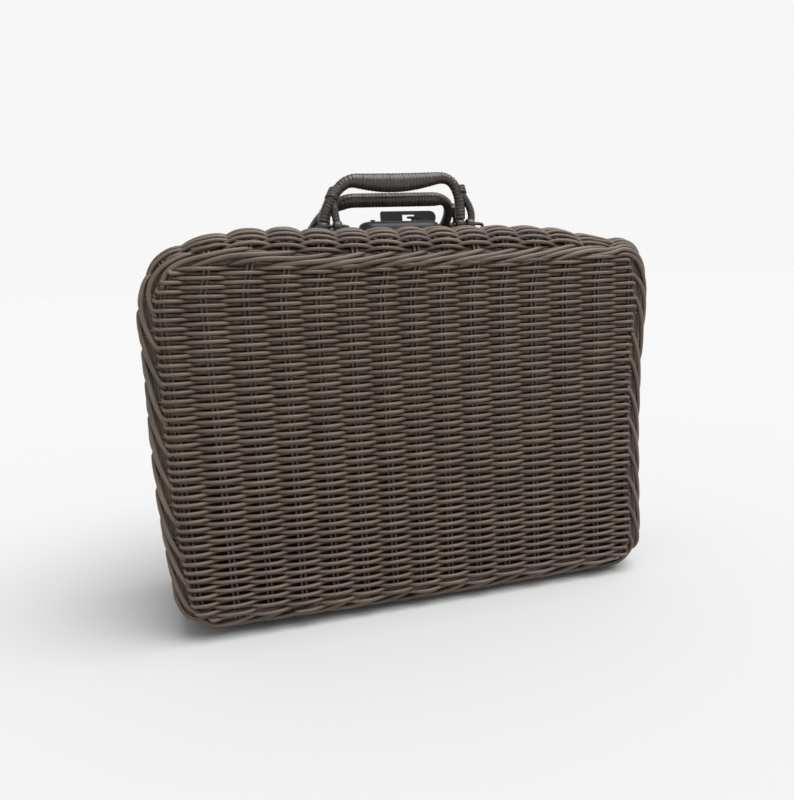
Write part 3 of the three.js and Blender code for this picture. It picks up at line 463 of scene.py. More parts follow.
def face_weaving():
    """One half's face in one cane from the lowest row to the highest."""
    ends = face_limits(lambda s: border_middle(s) - border_half(s) - BORDER_GAP)
    walls = face_limits(lambda s: QUARTER + 0 * s)
    knots = np.linspace(-210, 210, ROW_KNOTS)
    path = []
    for r in range(FACE_ROWS):
        left, right = ends[r]
        x = np.arange(left + END_GAP, right - END_GAP, POINT_STEP)
        if r % 2:
            x = x[::-1]
        phase = face_phase(x, FACE_BOTTOM + ROW * r) + math.pi * (r + 1)
        lift = np.cos(phase)
        lift = np.tanh(PRESSED * lift) / math.tanh(PRESSED)
        wobble = np.interp(x, knots, random.normal(0, ROW_WOBBLE, ROW_KNOTS))
        press = np.interp(x, knots, 1 + random.normal(0, ROW_PRESS, ROW_KNOTS))
        z = FACE_BOTTOM + ROW * r + 0.1 * np.sin(phase) + wobble
        share = x / ROW_HALF
        z = z + (END_RISE * share**2 - LEFT_END_RISE * share**3) * np.clip(r / 20, 0, 1)
        rounding = np.clip(EDGE - np.minimum(x - walls[r][0], walls[r][1] - x), 0, 20)
        y = -FACE - WEAVE_DEPTH - LIFT * press * lift + EDGE - np.sqrt(EDGE**2 - rounding**2)
        row = np.c_[x, y, z]
        if path:
            last, following = path[-1][-1], row[0]
            out = TURN_REACH if r % 2 else -TURN_REACH
            turn = [
                last * 0.85 + following * 0.15 + [out * 0.75, 0, 0],
                (last + following) / 2 + [out, 0, 0],
                last * 0.15 + following * 0.85 + [out * 0.75, 0, 0],
            ]
            path.append(np.array(turn))
        path.append(row)
    path = np.concatenate(path)
    height = np.maximum(-FACE - path[:, 1], WEAVE_DEPTH)
    return [cane(path, (0.0, -1.0, 0.0), CANE, 8, height=height)]


# Wall weaving. Canes of the same size go round and round the narrow walls, from
# under the roped border to the rim, and bulge where they pass over a stake pair.
# The first rows run along the top only, where the border lies on the face.
WALL_ROWS = 25
WALL_PITCH = 3.05
WALL_LIFT = 3.1
WALL_PRESSED = 1.2
WALL_POINTS = 404
WALL_KNOTS = 61
WALL_WOBBLE = 0.16
WALL_PRESS = 0.09
RIM_OVERLAP = 2.4
BORDER_CLEAR = 1.7
ROW_UNDER_BORDER = 5
ROW_TUCK = 3.0
EDGE_TUCK = 1.2


def lean(s, v):
    """How much further out a point of the top wall would stand if the stakes stayed apart."""
    top = np.clip((around_case(s, OUTWARD[:, 1]) - 0.3) / 0.6, 0, 1)
    return GATHER * s * top * gathered(v)


def stake_phase(s):
    """Half a turn from each stake pair to the next, round the case."""
    marks = np.r_[WALL_STAKES - ROUND, WALL_STAKES, WALL_STAKES + ROUND]
    count = len(WALL_STAKES)
    return math.pi * np.interp(s, marks, np.arange(-count, 2 * count))


def wall_weaving():
    """The rows round one half's walls; a row that meets the border ends under it."""
    made = []
    s = np.linspace(-ROUND / 2, ROUND / 2, WALL_POINTS, endpoint=False)
    start = border_middle(s) + border_half(s) + BORDER_CLEAR
    knots = np.linspace(-ROUND / 2, ROUND / 2, WALL_KNOTS)
    for r in range(WALL_ROWS):
        v = np.full(WALL_POINTS, V_RIM + RIM_OVERLAP - (WALL_ROWS - r - 0.5) * WALL_PITCH)
        phase = stake_phase(s + lean(s, v)) + math.pi * r
        lift = np.tanh(WALL_PRESSED * np.cos(phase)) / math.tanh(WALL_PRESSED)
        wobble = random.normal(0, WALL_WOBBLE, WALL_KNOTS)
        wobble[-1] = wobble[0]
        press = 1 + random.normal(0, WALL_PRESS, WALL_KNOTS)
        press[-1] = press[0]
        keep = v > start - ROW_UNDER_BORDER
        tucked = EDGE_TUCK * off_the_top(s) + ROW_TUCK * np.clip((start - v) / 3, 0, 1)
        v = v + np.interp(s, knots, wobble) - 0.25 * np.sin(phase)
        lift = lift * WALL_LIFT * (1 - 0.3 * off_the_top(s) - 0.35 * upper_corner(s))
        h = WEAVE_DEPTH + lift * np.interp(s, knots, press) - tucked
        path, out = on_form(s, v, h), out_of_form(s, v)
        if keep.all():
            made.append(cane(path, out, CANE, 8, closed=True, height=h))
        elif keep.sum() > 8:
            made.append(cane(path[keep], out[keep], CANE, 8, height=h[keep]))
    return made


# Roped border. Stouter canes are twined round the edge of the face: each comes out
# beside one stake pair, rises over the next ones and goes in again further out.
# Seven straight canes lie under them and fill the rope.
ROPE_CANE = 1.85
ROPE_FILLER = 1.9
ROPE_REACH = 2.9
SIDE_ROPE_REACH = 2.3
ROPE_START = -0.6
ROPE_LOW = -4.0
ROPE_RISE = 4.3
ROPE_POINTS = 30
FILLER_PLACES = (-1.1, -0.75, -0.38, 0.0, 0.38, 0.75, 1.1)
FILLER_DEPTH = -4.8
OUTER_FILLER_DEPTH = -6.0


def roped_border():
    """The ropes of one half's border and the canes that fill it."""
    made = []
    marks = np.r_[WALL_STAKES - ROUND, WALL_STAKES, WALL_STAKES + ROUND]
    count = len(WALL_STAKES)
    for j in range(count):
        t = np.linspace(0, 1, ROPE_POINTS)
        begin = np.interp(j + count + 0.5, np.arange(3 * count), marks)
        reach = ROPE_REACH - (ROPE_REACH - SIDE_ROPE_REACH) * float(off_the_top(begin))
        place = j + count + ROPE_START + reach * t + random.normal(0, 0.05)
        s = np.interp(place, np.arange(3 * count), marks)
        side = border_half(s) * (1.15 * (2 * t - 1) - 0.15 * np.sin(math.pi * (2 * t - 1)))
        h = ROPE_LOW + ROPE_RISE * np.sin(math.pi * t) ** 0.55 + random.normal(0, 0.12)
        v = border_middle(s) + side
        radius = ROPE_CANE * np.clip(np.sin(math.pi * t) * 6, 0.55, 1)
        made.append(cane(on_form(s, v, h), out_of_form(s, v), radius, 9, height=h))
    s = np.linspace(0, ROUND, 300, endpoint=False)
    for side in FILLER_PLACES:
        deep = OUTER_FILLER_DEPTH if abs(side) > 1 else FILLER_DEPTH
        v = border_middle(s) + side * border_half(s)
        path, out = on_form(s, v, deep), out_of_form(s, v)
        made.append(cane(path, out, ROPE_FILLER, 6, closed=True, height=deep))
    return made


# Cane skin. All the cane is stained grey-brown and has a satin skin: fine streaks
# along it, paler and drier patches, a tone of its own for each cane, and painted
# brown shade where it lies deep in the weave or in the grooves of wound strip.
def skin_group(name):
    """An empty skin: a dark and a light colour and a gloss go in, and what changes over it comes out."""
    group = bpy.data.node_groups.new(name, "ShaderNodeTree")
    for socket, kind in (("Dark", "Color"), ("Light", "Color"), ("Gloss", "Float")):
        group.interface.new_socket(socket, in_out="INPUT", socket_type=f"NodeSocket{kind}")
    for socket, kind in (("Color", "Color"), ("Roughness", "Float"), ("Relief", "Float")):
        group.interface.new_socket(socket, in_out="OUTPUT", socket_type=f"NodeSocket{kind}")
    return group, group.nodes.new("NodeGroupInput"), group.nodes.new("NodeGroupOutput")


def between_colours(group, given, source, low, high):
    """Nodes that go from the skin's dark colour to its light one as the source rises from low to high."""
    share = group.nodes.new("ShaderNodeMapRange")
    share.inputs["From Min"].default_value = low
    share.inputs["From Max"].default_value = high
    group.links.new(source, share.inputs["Value"])
    mixed = group.nodes.new("ShaderNodeMix")
    mixed.data_type = "RGBA"
    group.links.new(share.outputs["Result"], mixed.inputs["Factor"])
    group.links.new(given.outputs["Dark"], mixed.inputs["A"])
    group.links.new(given.outputs["Light"], mixed.inputs["B"])
    return mixed.outputs["Result"]


def round_gloss(group, given, source, low, high):
    """Nodes that vary the roughness round the given gloss, by low to high as the source rises."""
    change = group.nodes.new("ShaderNodeMapRange")
    change.inputs["To Min"].default_value = low
    change.inputs["To Max"].default_value = high
    group.links.new(source, change.inputs["Value"])
    rough = group.nodes.new("ShaderNodeMath")
    rough.operation = "ADD"
    group.links.new(change.outputs["Result"], rough.inputs[0])
    group.links.new(given.outputs["Gloss"], rough.inputs[1])
    return rough.outputs[0]


# Painted shade: the dark brown that cane colour is multiplied towards deep in the weave and in the
# grooves of wound strip
DEEP_SHADE = (0.2, 0.13, 0.1, 1)


def cane_skin_group():
    """The nodes that the three cane finishes share."""
    group, given, result = skin_group("cane_skin")
    nodes, links = group.nodes, group.links
    uv = nodes.new("ShaderNodeUVMap")
    uv.uv_map = "UVMap"
    stretch = nodes.new("ShaderNodeMapping")
    stretch.inputs["Scale"].default_value = (0.12, 9.0, 1.0)
    links.new(uv.outputs["UV"], stretch.inputs["Vector"])
    streaks = nodes.new("ShaderNodeTexNoise")
    streaks.inputs["Scale"].default_value = 1.6
    streaks.inputs["Detail"].default_value = 5.0
    streaks.inputs["Roughness"].default_value = 0.62
    links.new(stretch.outputs["Vector"], streaks.inputs["Vector"])
    place = nodes.new("ShaderNodeTexCoord")
    patches = nodes.new("ShaderNodeTexNoise")
    patches.inputs["Scale"].default_value = 38.0
    patches.inputs["Detail"].default_value = 3.0
    links.new(place.outputs["Object"], patches.inputs["Vector"])
    tone = nodes.new("ShaderNodeAttribute")
    tone.attribute_name = "tone"

    paleness = None
    for source, weight in (
        (patches.outputs["Fac"], 0.45),
        (streaks.outputs["Fac"], 0.55),
        (tone.outputs["Fac"], 0.22),
    ):
        share = nodes.new("ShaderNodeMath")
        share.operation = "MULTIPLY_ADD"
        share.inputs[1].default_value = weight
        share.inputs[2].default_value = 0.0
        links.new(source, share.inputs[0])
        if paleness:
            links.new(paleness.outputs[0], share.inputs[2])
        paleness = share
    stained = between_colours(group, given, paleness.outputs[0], 0.36, 0.82)
    # Painted shade: cane deep in the weave or in a groove is multiplied towards a dark brown
    sunk_shade = nodes.new("ShaderNodeAttribute")
    sunk_shade.attribute_name = "sunk_shade"
    shaded = nodes.new("ShaderNodeMix")
    shaded.data_type = "RGBA"
    shaded.blend_type = "MULTIPLY"
    shaded.inputs["B"].default_value = DEEP_SHADE
    links.new(sunk_shade.outputs["Fac"], shaded.inputs["Factor"])
    links.new(stained, shaded.inputs["A"])
    links.new(shaded.outputs["Result"], result.inputs["Color"])
    rough = round_gloss(group, given, streaks.outputs["Fac"], -0.1, 0.14)
    links.new(rough, result.inputs["Roughness"])
    links.new(streaks.outputs["Fac"], result.inputs["Relief"])
    return group


def finish(name, skin, dark, light, gloss, strength, depth):
    """A material from one of the skins, with its own colours and gloss, and the relief as a fine bump."""
    material = bpy.data.materials.new(name)
    material.use_nodes = True
    nodes, links = material.node_tree.nodes, material.node_tree.links
    shader = nodes["Principled BSDF"]
    placed = nodes.new("ShaderNodeGroup")
    placed.node_tree = skin
    placed.inputs["Dark"].default_value = (*dark, 1)
    placed.inputs["Light"].default_value = (*light, 1)
    placed.inputs["Gloss"].default_value = gloss
    links.new(placed.outputs["Color"], shader.inputs["Base Color"])
    links.new(placed.outputs["Roughness"], shader.inputs["Roughness"])
    bump = nodes.new("ShaderNodeBump")
    bump.inputs["Strength"].default_value = strength
    bump.inputs["Distance"].default_value = depth
    links.new(placed.outputs["Relief"], bump.inputs["Height"])
    links.new(bump.outputs["Normal"], shader.inputs["Normal"])
    return material


CANE_SKIN = cane_skin_group()
STREAK_STRENGTH = 0.25
STREAK_DEPTH = 0.3 * MM
DARK_STAIN = (0.0408, 0.0266, 0.0188)
LIGHT_STAIN = (0.138, 0.1005, 0.0752)
CANE_GLOSS = 0.4
CANE_FINISH = finish(
    "stained_cane", CANE_SKIN, DARK_STAIN, LIGHT_STAIN, CANE_GLOSS, STREAK_STRENGTH, STREAK_DEPTH
)


def woven_half(side, back):
    """All of one half's canes in the order they are woven, riding on that half."""
    pieces = {
        f"{side}_stakes": half_stakes(),
        f"{side}_face_weaving": face_weaving(),
        f"{side}_wall_weaving": wall_weaving(),
        f"{side}_roped_border": roped_border(),
    }
    for name, canes in pieces.items():
        piece = cane_piece(name, canes, mirrored=back)
        piece.data.materials.append(CANE_FINISH)
        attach(piece, f"{side}_half")
        if name.endswith("face_weaving"):
            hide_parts(f"{side}_weave")
        if name.endswith("roped_border"):
            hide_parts(f"{side}_border")


woven_half("front", back=False)
woven_half("back", back=True)


# Lining. A near-black brown sheet inside each half is painted shade for the dark inside
# of the case, and keeps the light out of the weave. It is caught in the rim, lines the
# walls and the rounded edge, and lies flat behind the face. Cut flat it is about 498 by 388 mm.
LINING_DEPTH = -10.2
LINING_POINTS = 240
SHEET_THICKNESS = 0.6


def lining_sheet(name, mirrored):
    """One half's lining: rings from the rim to the edge of the face, and one flat piece inside them."""
    s = np.linspace(0, ROUND, LINING_POINTS, endpoint=False)
    v = np.r_[V_RIM + 3, V_RIM - 15, V_RIM - 30, np.linspace(QUARTER, 0, 10)]
    rings = [on_form(s, np.full(LINING_POINTS, edge), LINING_DEPTH) for edge in v]
    points = np.concatenate(rings) * MM
    if mirrored:
        points = points * [-1, -1, 1]
    faces = []
    for first in LINING_POINTS * np.arange(len(rings) - 1):
        for i in range(LINING_POINTS):
            here, after = first + i, first + (i + 1) % LINING_POINTS
            faces.append((here, after, after + LINING_POINTS, here + LINING_POINTS))
    last = (len(rings) - 1) * LINING_POINTS
    faces.append(tuple(range(last, last + LINING_POINTS)))
    mesh = bpy.data.meshes.new(name)
    mesh.from_pydata(points.tolist(), [], faces)
    mesh.update()
    piece = bpy.data.objects.new(name, mesh)
    bpy.context.scene.collection.objects.link(piece)
    bpy.ops.object.select_all(action="DESELECT")
    bpy.context.view_layer.objects.active = piece
    piece.select_set(True)
    bpy.ops.object.mode_set(mode="EDIT")
    bpy.ops.mesh.select_all(action="SELECT")
    bpy.ops.mesh.normals_make_consistent(inside=False)
    bpy.ops.object.mode_set(mode="OBJECT")
    bpy.ops.object.shade_smooth()
    thick = piece.modifiers.new("thickness", "SOLIDIFY")
    thick.thickness = SHEET_THICKNESS * MM
    bpy.ops.object.modifier_apply(modifier="thickness")
    return piece


# Painted shade: the sheet is near-black brown, as dark as the shade inside the case
DARK_SHADE_SHEET = (0.011, 0.0068, 0.0048, 1)
LIGHT_SHADE_SHEET = (0.019, 0.012, 0.0085, 1)
SHADE_LINING_FINISH = bpy.data.materials.new("painted_shade_lining")
SHADE_LINING_FINISH.use_nodes = True
cloth, threads = SHADE_LINING_FINISH.node_tree.nodes, SHADE_LINING_FINISH.node_tree.links
cloth_place = cloth.new("ShaderNodeTexCoord")
cloth_weave = cloth.new("ShaderNodeTexWave")
cloth_weave.inputs["Scale"].default_value = 700.0
cloth_weave.bands_direction = "Z"
cloth_weave.inputs["Distortion"].default_value = 1.5
threads.new(cloth_place.outputs["Object"], cloth_weave.inputs["Vector"])
shade_sheet_colour = cloth.new("ShaderNodeValToRGB")
shade_sheet_colour.color_ramp.elements[0].color = DARK_SHADE_SHEET
shade_sheet_colour.color_ramp.elements[1].color = LIGHT_SHADE_SHEET
threads.new(cloth_weave.outputs["Fac"], shade_sheet_colour.inputs["Fac"])
threads.new(shade_sheet_colour.outputs["Color"], cloth["Principled BSDF"].inputs["Base Color"])
cloth_bump = cloth.new("ShaderNodeBump")
cloth_bump.inputs["Strength"].default_value = 0.3
cloth_bump.inputs["Distance"].default_value = 0.0002
threads.new(cloth_weave.outputs["Fac"], cloth_bump.inputs["Height"])
threads.new(cloth_bump.outputs["Normal"], cloth["Principled BSDF"].inputs["Normal"])
cloth["Principled BSDF"].inputs["Roughness"].default_value = 0.9

for side, back in (("front", False), ("back", True)):
    lining = lining_sheet(f"{side}_lining", back)
    lining.data.materials.append(SHADE_LINING_FINISH)
    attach(lining, f"{side}_half")


# Bound rims. A stout stick goes round the mouth of each half and is bound to the
# weave with cane, turn beside turn. Both rims stop short of the hinge knuckles.
RIM = 5.7
SEAM = 5.75
HINGE_X = 120.0
HINGE_HALF = 14.6
HINGE_REACH = 12
BINDING_CANE = 3.1
BINDING_GROOVE = 0.5
BINDING_SLANT = 0.16
# How dark the painted shade in the deepest grooves of wound strip is
GROOVE_SHADE = 0.75


def wound(path, out, radius, strip, depth, flat=1.0, slant=0.0, sides=14, seed=0):
    """A stick wound with flat strip: five rings to each turn, low where two turns meet.

    Each groove between two turns is a little deeper or shallower than the next and
    gets painted shade as dark as it is deep, and slant leans the turns along the stick.
    """
    local = np.random.default_rng(seed)
    step = np.linalg.norm(np.diff(path, axis=0), axis=1)
    length = np.r_[0, np.cumsum(step)]
    turns = max(2, round(length[-1] / strip))
    width = length[-1] / turns
    at, low = [], []
    grooves = local.uniform(0.3, 1.0, turns + 1)
    for i in range(turns):
        shift = local.normal(0, 0.05)
        rings = ((0.04, grooves[i]), (0.24, 0.1), (0.5, 0.0), (0.76, 0.1), (0.96, grooves[i + 1]))
        for share, groove in rings:
            at.append((i + share + shift) * width)
            low.append(groove + local.normal(0, 0.06))
    at = np.sort(np.clip(at, 0, length[-1]))
    low = np.array(low)
    centre = np.stack([np.interp(at, length, path[:, axis]) for axis in range(3)], axis=1)
    size = np.interp(at, length, np.broadcast_to(radius, len(path))) - depth * low
    out = np.broadcast_to(out, path.shape)
    facing = np.stack([np.interp(at, length, out[:, axis]) for axis in range(3)], axis=1)
    flat = np.interp(at, length, np.broadcast_to(flat, len(path)))
    points, faces, corners, ends, tone, _ = cane(centre, facing, size, sides, flat=flat)
    # Painted shade in the grooves between turns, as dark as each groove is deep
    sunk_shade = np.repeat(np.clip(low, 0, 1) * GROOVE_SHADE, sides)
    if slant:
        along = np.gradient(centre, axis=0)
        along /= np.linalg.norm(along, axis=1)[:, None]
        swing = np.cos(np.arange(sides) * 2 * math.pi / sides)
        slid = slant * size[:, None, None] * swing[None, :, None] * along[:, None]
        points = points + slid.reshape(-1, 3)
    return points, faces, corners, ends, tone, sunk_shade


def bound_rim(seed):
    """One half's rim in two lengths, from hinge to hinge below and round the rest of the case."""
    middle = np.linspace(0, ROUND, OUTLINE_POINTS + 1)
    x, z = around_case(middle, OUTLINE[:, 0]), around_case(middle, OUTLINE[:, 1])
    open_here = (z < HINGE_REACH) & (np.abs(np.abs(x) - HINGE_X) < HINGE_HALF)
    made = []
    starts = np.flatnonzero(np.diff(open_here.astype(int)))
    pieces = [(starts[1] + 1, starts[2]), (starts[3] + 1, len(middle) + starts[0] - 1)]
    for low, high in pieces:
        s = middle[np.arange(low, high) % (len(middle) - 1)]
        s = np.unwrap(s, period=ROUND)
        path = np.c_[
            around_case(s, OUTLINE[:, 0]) - SEAM * around_case(s, OUTWARD[:, 0]),
            np.full(len(s), -SEAM),
            around_case(s, OUTLINE[:, 1]) - SEAM * around_case(s, OUTWARD[:, 1]),
        ]
        out = np.c_[around_case(s, OUTWARD[:, 0]), 0 * s, around_case(s, OUTWARD[:, 1])]
        made.append(
            wound(path, out, RIM, BINDING_CANE, BINDING_GROOVE, slant=BINDING_SLANT, sides=12, seed=seed)
        )
    return made


DARK_BINDING = (0.05, 0.034, 0.0245)
LIGHT_BINDING = (0.17, 0.125, 0.093)
RIM_FINISH = finish(
    "rim_binding", CANE_SKIN, DARK_BINDING, LIGHT_BINDING, 0.42, STREAK_STRENGTH, STREAK_DEPTH
)
for side, back in (("front", False), ("back", True)):
    rim = cane_piece(f"{side}_bound_rim", bound_rim(11 if back else 12), mirrored=back)
    rim.data.materials.append(RIM_FINISH)
    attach(rim, f"{side}_half")
    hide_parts(f"{side}_rim")


# Handles. A bow of thick cane with a thinner leg beside each end, inside the bow on
# the left and outside it on the right, all wound with flat strip. The front grip
# swells in the middle, and the back one is even. Each foot is an eye that turns on
# a wire staple in the top wall.
HANDLE_X = 3.0
HANDLE_Y = 22.0
HANDLE_Z = 306.95
BACK_LEAN = 54.0
BOW_FEET = (-65.3, 50.3)
LEG_FEET = (-53.3, 59.4)
BOW_RADIUS = 4.25
LEG_RADIUS = 3.1
GRIP_HALF = 35.0
GRIP_RISE = 36.3
GRIP_MIDDLE = -6
GRIP_REACH = 50
GRIP_BLEND = 12
FRONT_GRIP = 4.8
BACK_GRIP = 5.8
FRONT_SWELL = 2.7
SWELL_HALF = 39
SWELL_DROP = 1.15
FLATTER_SWELL = 0.75
STRIP = 2.8
STRIP_GROOVE = 0.42
LEG_GROOVE = 0.24
TIE_STRIP = 1.9
TIES = (((-57.5, 20), (-54.0, 27.5)), ((52.2, 23), (51.2, 29)))
EYE_RADIUS = 3.25
EYE_WIRE = 1.35
DARK_WINDING = (0.02, 0.015, 0.0122)
LIGHT_WINDING = (0.092, 0.0715, 0.0585)
WINDING_FINISH = finish(
    "handle_winding", CANE_SKIN, DARK_WINDING, LIGHT_WINDING, 0.3, STREAK_STRENGTH, STREAK_DEPTH
)


def bezier(a, b, c, d, count=40):
    """Points along a smooth bend from a to d that sets out towards b and arrives from c."""
    t = np.linspace(0, 1, count)[:, None]
    a, b, c, d = (np.array(p, float) for p in (a, b, c, d))
    return a * (1 - t) ** 3 + 3 * b * t * (1 - t) ** 2 + 3 * c * t**2 * (1 - t) + d * t**3


def bow_line():
    """The bow from foot to foot: its left end spreads wide, and the grip rises a little to the right."""
    low, high = GRIP_RISE - 0.6, GRIP_RISE + 0.4
    left = bezier((BOW_FEET[0], 0), (-64, 12), (-52, low), (-GRIP_HALF, low))
    right = bezier((BOW_FEET[1], 0), (52.5, 16), (50.5, high), (GRIP_HALF, high))
    x = np.linspace(-GRIP_HALF, GRIP_HALF, 50)[1:-1]
    return np.r_[left, np.c_[x, GRIP_RISE - 0.1 + 0.5 * x / GRIP_HALF], right[::-1]]


def handle_parts(grip_radius, belly, seed):
    """The bow, its legs, the ties at the forks and the four eyes, drawn upright about the pivot line."""
    front = (0.0, -1.0, 0.0)
    line = bow_line()
    off_middle = line[:, 0] - GRIP_MIDDLE
    swell = belly * np.clip(1 - (off_middle / SWELL_HALF) ** 2, 0, 1) ** 1.2
    grip = np.clip((GRIP_REACH - np.abs(off_middle)) / GRIP_BLEND, 0, 1)
    radius = BOW_RADIUS + (grip_radius - BOW_RADIUS) * grip * grip * (3 - 2 * grip) + swell
    path = np.c_[line[:, 0], 0 * swell, line[:, 1] - SWELL_DROP * swell]
    oval = (radius - FLATTER_SWELL * swell) / radius
    path, radius, oval = path[3:-3], radius[3:-3], oval[3:-3]
    made = [wound(path, front, radius, STRIP, STRIP_GROOVE, flat=oval, slant=0.07, seed=seed)]
    legs = [
        bezier((LEG_FEET[0], 0), (-54.5, 8), (-55.5, 14), (-55.5, 23), 20),
        bezier((LEG_FEET[1], 0), (63.5, 8), (58.5, 17), (51.2, 26), 20),
    ]
    for number, leg in enumerate(legs):
        leg = np.c_[leg[1:, 0], 0 * leg[1:, 0], leg[1:, 1]]
        made.append(wound(leg, front, LEG_RADIUS, STRIP, LEG_GROOVE, slant=0.1, seed=seed + 3 + number))
    thick = np.linspace(5.2, 4.7, 10)
    for ends_at in TIES:
        tie = np.array(ends_at)[:, [0, 0, 1]] * [1, 0, 1]
        band = tie[0] + (tie[1] - tie[0]) * np.linspace(0, 1, 10)[:, None]
        made.append(wound(band, front, thick, TIE_STRIP, 0.4, slant=0.5, seed=seed + 7))
    turn = np.linspace(0, 2 * math.pi, 20, endpoint=False)
    for x in (BOW_FEET[0], LEG_FEET[0], BOW_FEET[1], LEG_FEET[1]):
        ring = np.c_[np.full(20, x), EYE_RADIUS * np.cos(turn), EYE_RADIUS * np.sin(turn)]
        made.append(cane(ring, (1.0, 0.0, 0.0), EYE_WIRE, 8, closed=True, flat=2.6))
    return made


def wound_handle(side, grip_radius, belly, lean, sign, seed):
    """One handle, leant about its feet, riding on its own body."""
    handle = cane_piece(f"{side}_wound_handle", handle_parts(grip_radius, belly, seed))
    turn = Matrix.Rotation(math.radians(lean), 4, "X")
    place = Matrix.Translation(Vector((HANDLE_X, sign * HANDLE_Y, HANDLE_Z)) * MM)
    handle.data.transform(place @ turn)
    handle.data.materials.append(WINDING_FINISH)
    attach(handle, f"{side}_handle")
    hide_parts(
        f"{side}_handle_bow",
        f"{side}_handle_grip_wrap",
        f"{side}_handle_inner_leg_left",
        f"{side}_handle_inner_leg_right",
        f"{side}_handle_binding_left",
        f"{side}_handle_binding_right",
    )


wound_handle("front", FRONT_GRIP, FRONT_SWELL, lean=0.0, sign=-1, seed=21)
wound_handle("back", BACK_GRIP, 0.0, lean=BACK_LEAN, sign=1, seed=31)


# Black fittings. The clasp plate and turn button, the flap and its leaf, two
# strap hinges, their pins and rivets, and the handle staples are steel with a
# thin black coating, a little worn and dusty.
def black_coating_group():
    """The nodes that both black finishes share: cloudy wear over a fine grain."""
    group, given, result = skin_group("black_coating")
    nodes, links = group.nodes, group.links
    place = nodes.new("ShaderNodeTexCoord")
    grain = nodes.new("ShaderNodeTexNoise")
    grain.inputs["Scale"].default_value = 900.0
    grain.inputs["Detail"].default_value = 2.0
    links.new(place.outputs["Object"], grain.inputs["Vector"])
    cloud = nodes.new("ShaderNodeTexNoise")
    cloud.inputs["Scale"].default_value = 60.0
    cloud.inputs["Detail"].default_value = 4.0
    links.new(place.outputs["Object"], cloud.inputs["Vector"])
    worn = between_colours(group, given, cloud.outputs["Fac"], 0.35, 0.7)
    links.new(worn, result.inputs["Color"])
    rough = round_gloss(group, given, cloud.outputs["Fac"], -0.08, 0.12)
    links.new(rough, result.inputs["Roughness"])
    links.new(grain.outputs["Fac"], result.inputs["Relief"])
    return group


BLACK_COATING = black_coating_group()
GRAIN_STRENGTH = 0.12
GRAIN_DEPTH = 0.2 * MM
DARK_CLASP, LIGHT_CLASP = (0.006, 0.00675, 0.007875), (0.0108, 0.01215, 0.014175)
DARK_HINGE, LIGHT_HINGE = (0.00675, 0.007125, 0.007875), (0.01215, 0.012825, 0.014175)
CLASP_FINISH = finish(
    "clasp_black", BLACK_COATING, DARK_CLASP, LIGHT_CLASP, 0.45, GRAIN_STRENGTH, GRAIN_DEPTH
)
HINGE_FINISH = finish(
    "hinge_black", BLACK_COATING, DARK_HINGE, LIGHT_HINGE, 0.5, GRAIN_STRENGTH, GRAIN_DEPTH
)
# The small fittings keep the solids that they are in the frame
for name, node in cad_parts.items():
    if node.hide_render:
        continue
    is_hinge = name.startswith("hinge") or "staple" in name
    node.data.materials.clear()
    node.data.materials.append(HINGE_FINISH if is_hinge else CLASP_FINISH)


# Clasp plate. Pressed from thin sheet into a low oval dome and riveted to the
# middle of the front half's top wall; the flap comes down over it.
PLATE_X = 3.5
PLATE_Y = -13
PLATE_Z = 302.3
PLATE_RADIUS = 11.8
PLATE_STRAIGHT = 22.7
PLATE_WALL = 2.4
DOME_STEPS = ((0.5, 2.3), (1.3, 1.7), (2.0, 1.1), (2.4, 0.6), (2.6, 0.3))
bpy.ops.object.select_all(action="DESELECT")
bpy.ops.mesh.primitive_circle_add(
    vertices=64,
    radius=PLATE_RADIUS * MM,
    fill_type="NGON",
    location=(PLATE_X * MM, PLATE_Y * MM, PLATE_Z * MM),
)
plate = bpy.context.object
plate.name = "pressed_clasp_plate"
bpy.ops.object.transform_apply(location=True, rotation=True, scale=True)
for point in plate.data.vertices:
    point.co.x += math.copysign(PLATE_STRAIGHT * MM, point.co.x - PLATE_X * MM)
bpy.ops.object.mode_set(mode="EDIT")
bpy.ops.mesh.select_all(action="SELECT")
bpy.ops.mesh.extrude_region_move(TRANSFORM_OT_translate={"value": (0, 0, PLATE_WALL * MM)})
for narrower, higher in DOME_STEPS:
    bpy.ops.mesh.inset(thickness=narrower * MM, depth=higher * MM)
bpy.ops.mesh.select_all(action="SELECT")
bpy.ops.mesh.normals_make_consistent(inside=False)
bpy.ops.object.mode_set(mode="OBJECT")
bpy.ops.object.shade_smooth_by_angle(angle=math.radians(40))
plate.data.materials.append(CLASP_FINISH)
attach(plate, "front_half")
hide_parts("clasp_plate")


# Floor. Seamless and pale, with no shine, and dull enough to keep its tone under
# the light.
FLOOR_TONE = 0.553
bpy.ops.object.select_all(action="DESELECT")
bpy.ops.mesh.primitive_plane_add(size=400, location=(0, 0, 0))
floor = bpy.context.object
floor.name = "pale_floor"
FLOOR_FINISH = bpy.data.materials.new("pale_floor")
FLOOR_FINISH.use_nodes = True
paint = FLOOR_FINISH.node_tree.nodes["Principled BSDF"]
paint.inputs["Base Color"].default_value = (FLOOR_TONE, FLOOR_TONE, FLOOR_TONE, 1)
paint.inputs["Roughness"].default_value = 0.9
paint.inputs["Specular IOR Level"].default_value = 0.0
floor.data.materials.append(FLOOR_FINISH)

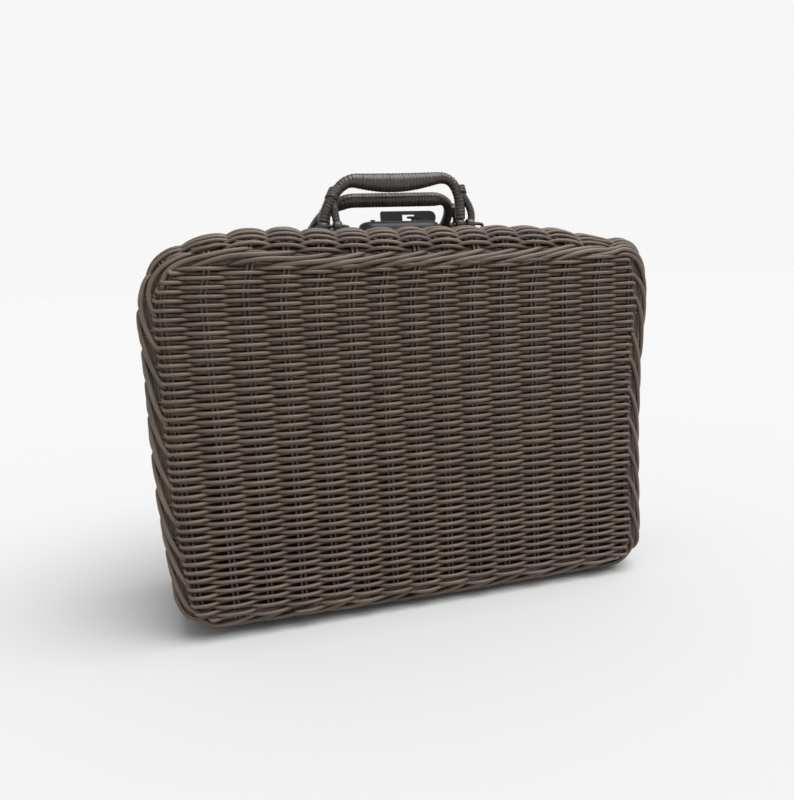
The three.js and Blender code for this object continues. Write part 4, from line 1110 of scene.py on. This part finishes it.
# Light. The studio is bright low down and a little dimmer overhead, more so on the
# left, and one broad soft light comes from above, from the right and in front.
LOW_WALL = 0.36
HIGH_WALL = 0.6
LOW_GLOW = 0.93
HIGH_GLOW = 0.7
RIGHT_GLOW = 0.35
SUN_SOFTNESS = 56
SUN_STRENGTH = 3.3
SUN_FROM = (0.3, -0.38, 1)
world = bpy.data.worlds.new("studio")
bpy.context.scene.world = world
world.use_nodes = True
sky, wires = world.node_tree.nodes, world.node_tree.links
facing = sky.new("ShaderNodeTexCoord")
height = sky.new("ShaderNodeSeparateXYZ")
wires.new(facing.outputs["Generated"], height.inputs["Vector"])
fade = sky.new("ShaderNodeMapRange")
fade.inputs["From Min"].default_value = LOW_WALL
fade.inputs["From Max"].default_value = HIGH_WALL
fade.inputs["To Min"].default_value = LOW_GLOW
fade.inputs["To Max"].default_value = HIGH_GLOW
wires.new(height.outputs["Z"], fade.inputs["Value"])
sidelong = sky.new("ShaderNodeMapRange")
sidelong.inputs["From Min"].default_value = LOW_WALL
sidelong.inputs["From Max"].default_value = HIGH_WALL
sidelong.inputs["To Max"].default_value = RIGHT_GLOW
wires.new(height.outputs["Z"], sidelong.inputs["Value"])
slope = sky.new("ShaderNodeMath")
slope.operation = "MULTIPLY"
wires.new(height.outputs["X"], slope.inputs[0])
wires.new(sidelong.outputs["Result"], slope.inputs[1])
total = sky.new("ShaderNodeMath")
total.operation = "ADD"
wires.new(fade.outputs["Result"], total.inputs[0])
wires.new(slope.outputs[0], total.inputs[1])
wires.new(total.outputs[0], sky["Background"].inputs["Color"])
sky["Background"].inputs["Strength"].default_value = 1.0

bpy.context.scene.view_settings.view_transform = "Standard"

overhead = bpy.data.objects.new("overhead", bpy.data.lights.new("overhead", "SUN"))
bpy.context.scene.collection.objects.link(overhead)
overhead.data.angle = math.radians(SUN_SOFTNESS)
overhead.data.energy = SUN_STRENGTH
overhead.rotation_euler = Vector(SUN_FROM).to_track_quat("Z", "Y").to_euler()

# Camera. It stands a little below the top of the case and left of its middle, as
# the photographer's did; its place was fitted to the case's edges and corners.
CAMERA_PLACE = (-0.18715, -0.66899, 0.26124)
camera = bpy.data.objects.new("camera", bpy.data.cameras.new("camera"))
bpy.context.scene.collection.objects.link(camera)
bpy.context.scene.camera = camera
camera.data.sensor_width = 36.0
camera.data.lens = 36.0
camera.data.shift_x = -0.05
camera.data.shift_y = 0.05
right = Vector((0.94667, -0.31955, -0.041264))
down = Vector((-0.100768, -0.171985, -0.979932))
ahead = Vector((0.306042, 0.93183, -0.195013))
camera.matrix_world = Matrix(
    (
        (right.x, -down.x, -ahead.x, CAMERA_PLACE[0]),
        (right.y, -down.y, -ahead.y, CAMERA_PLACE[1]),
        (right.z, -down.z, -ahead.z, CAMERA_PLACE[2]),
        (0, 0, 0, 1),
    )
)
camera.data.clip_start = 0.01
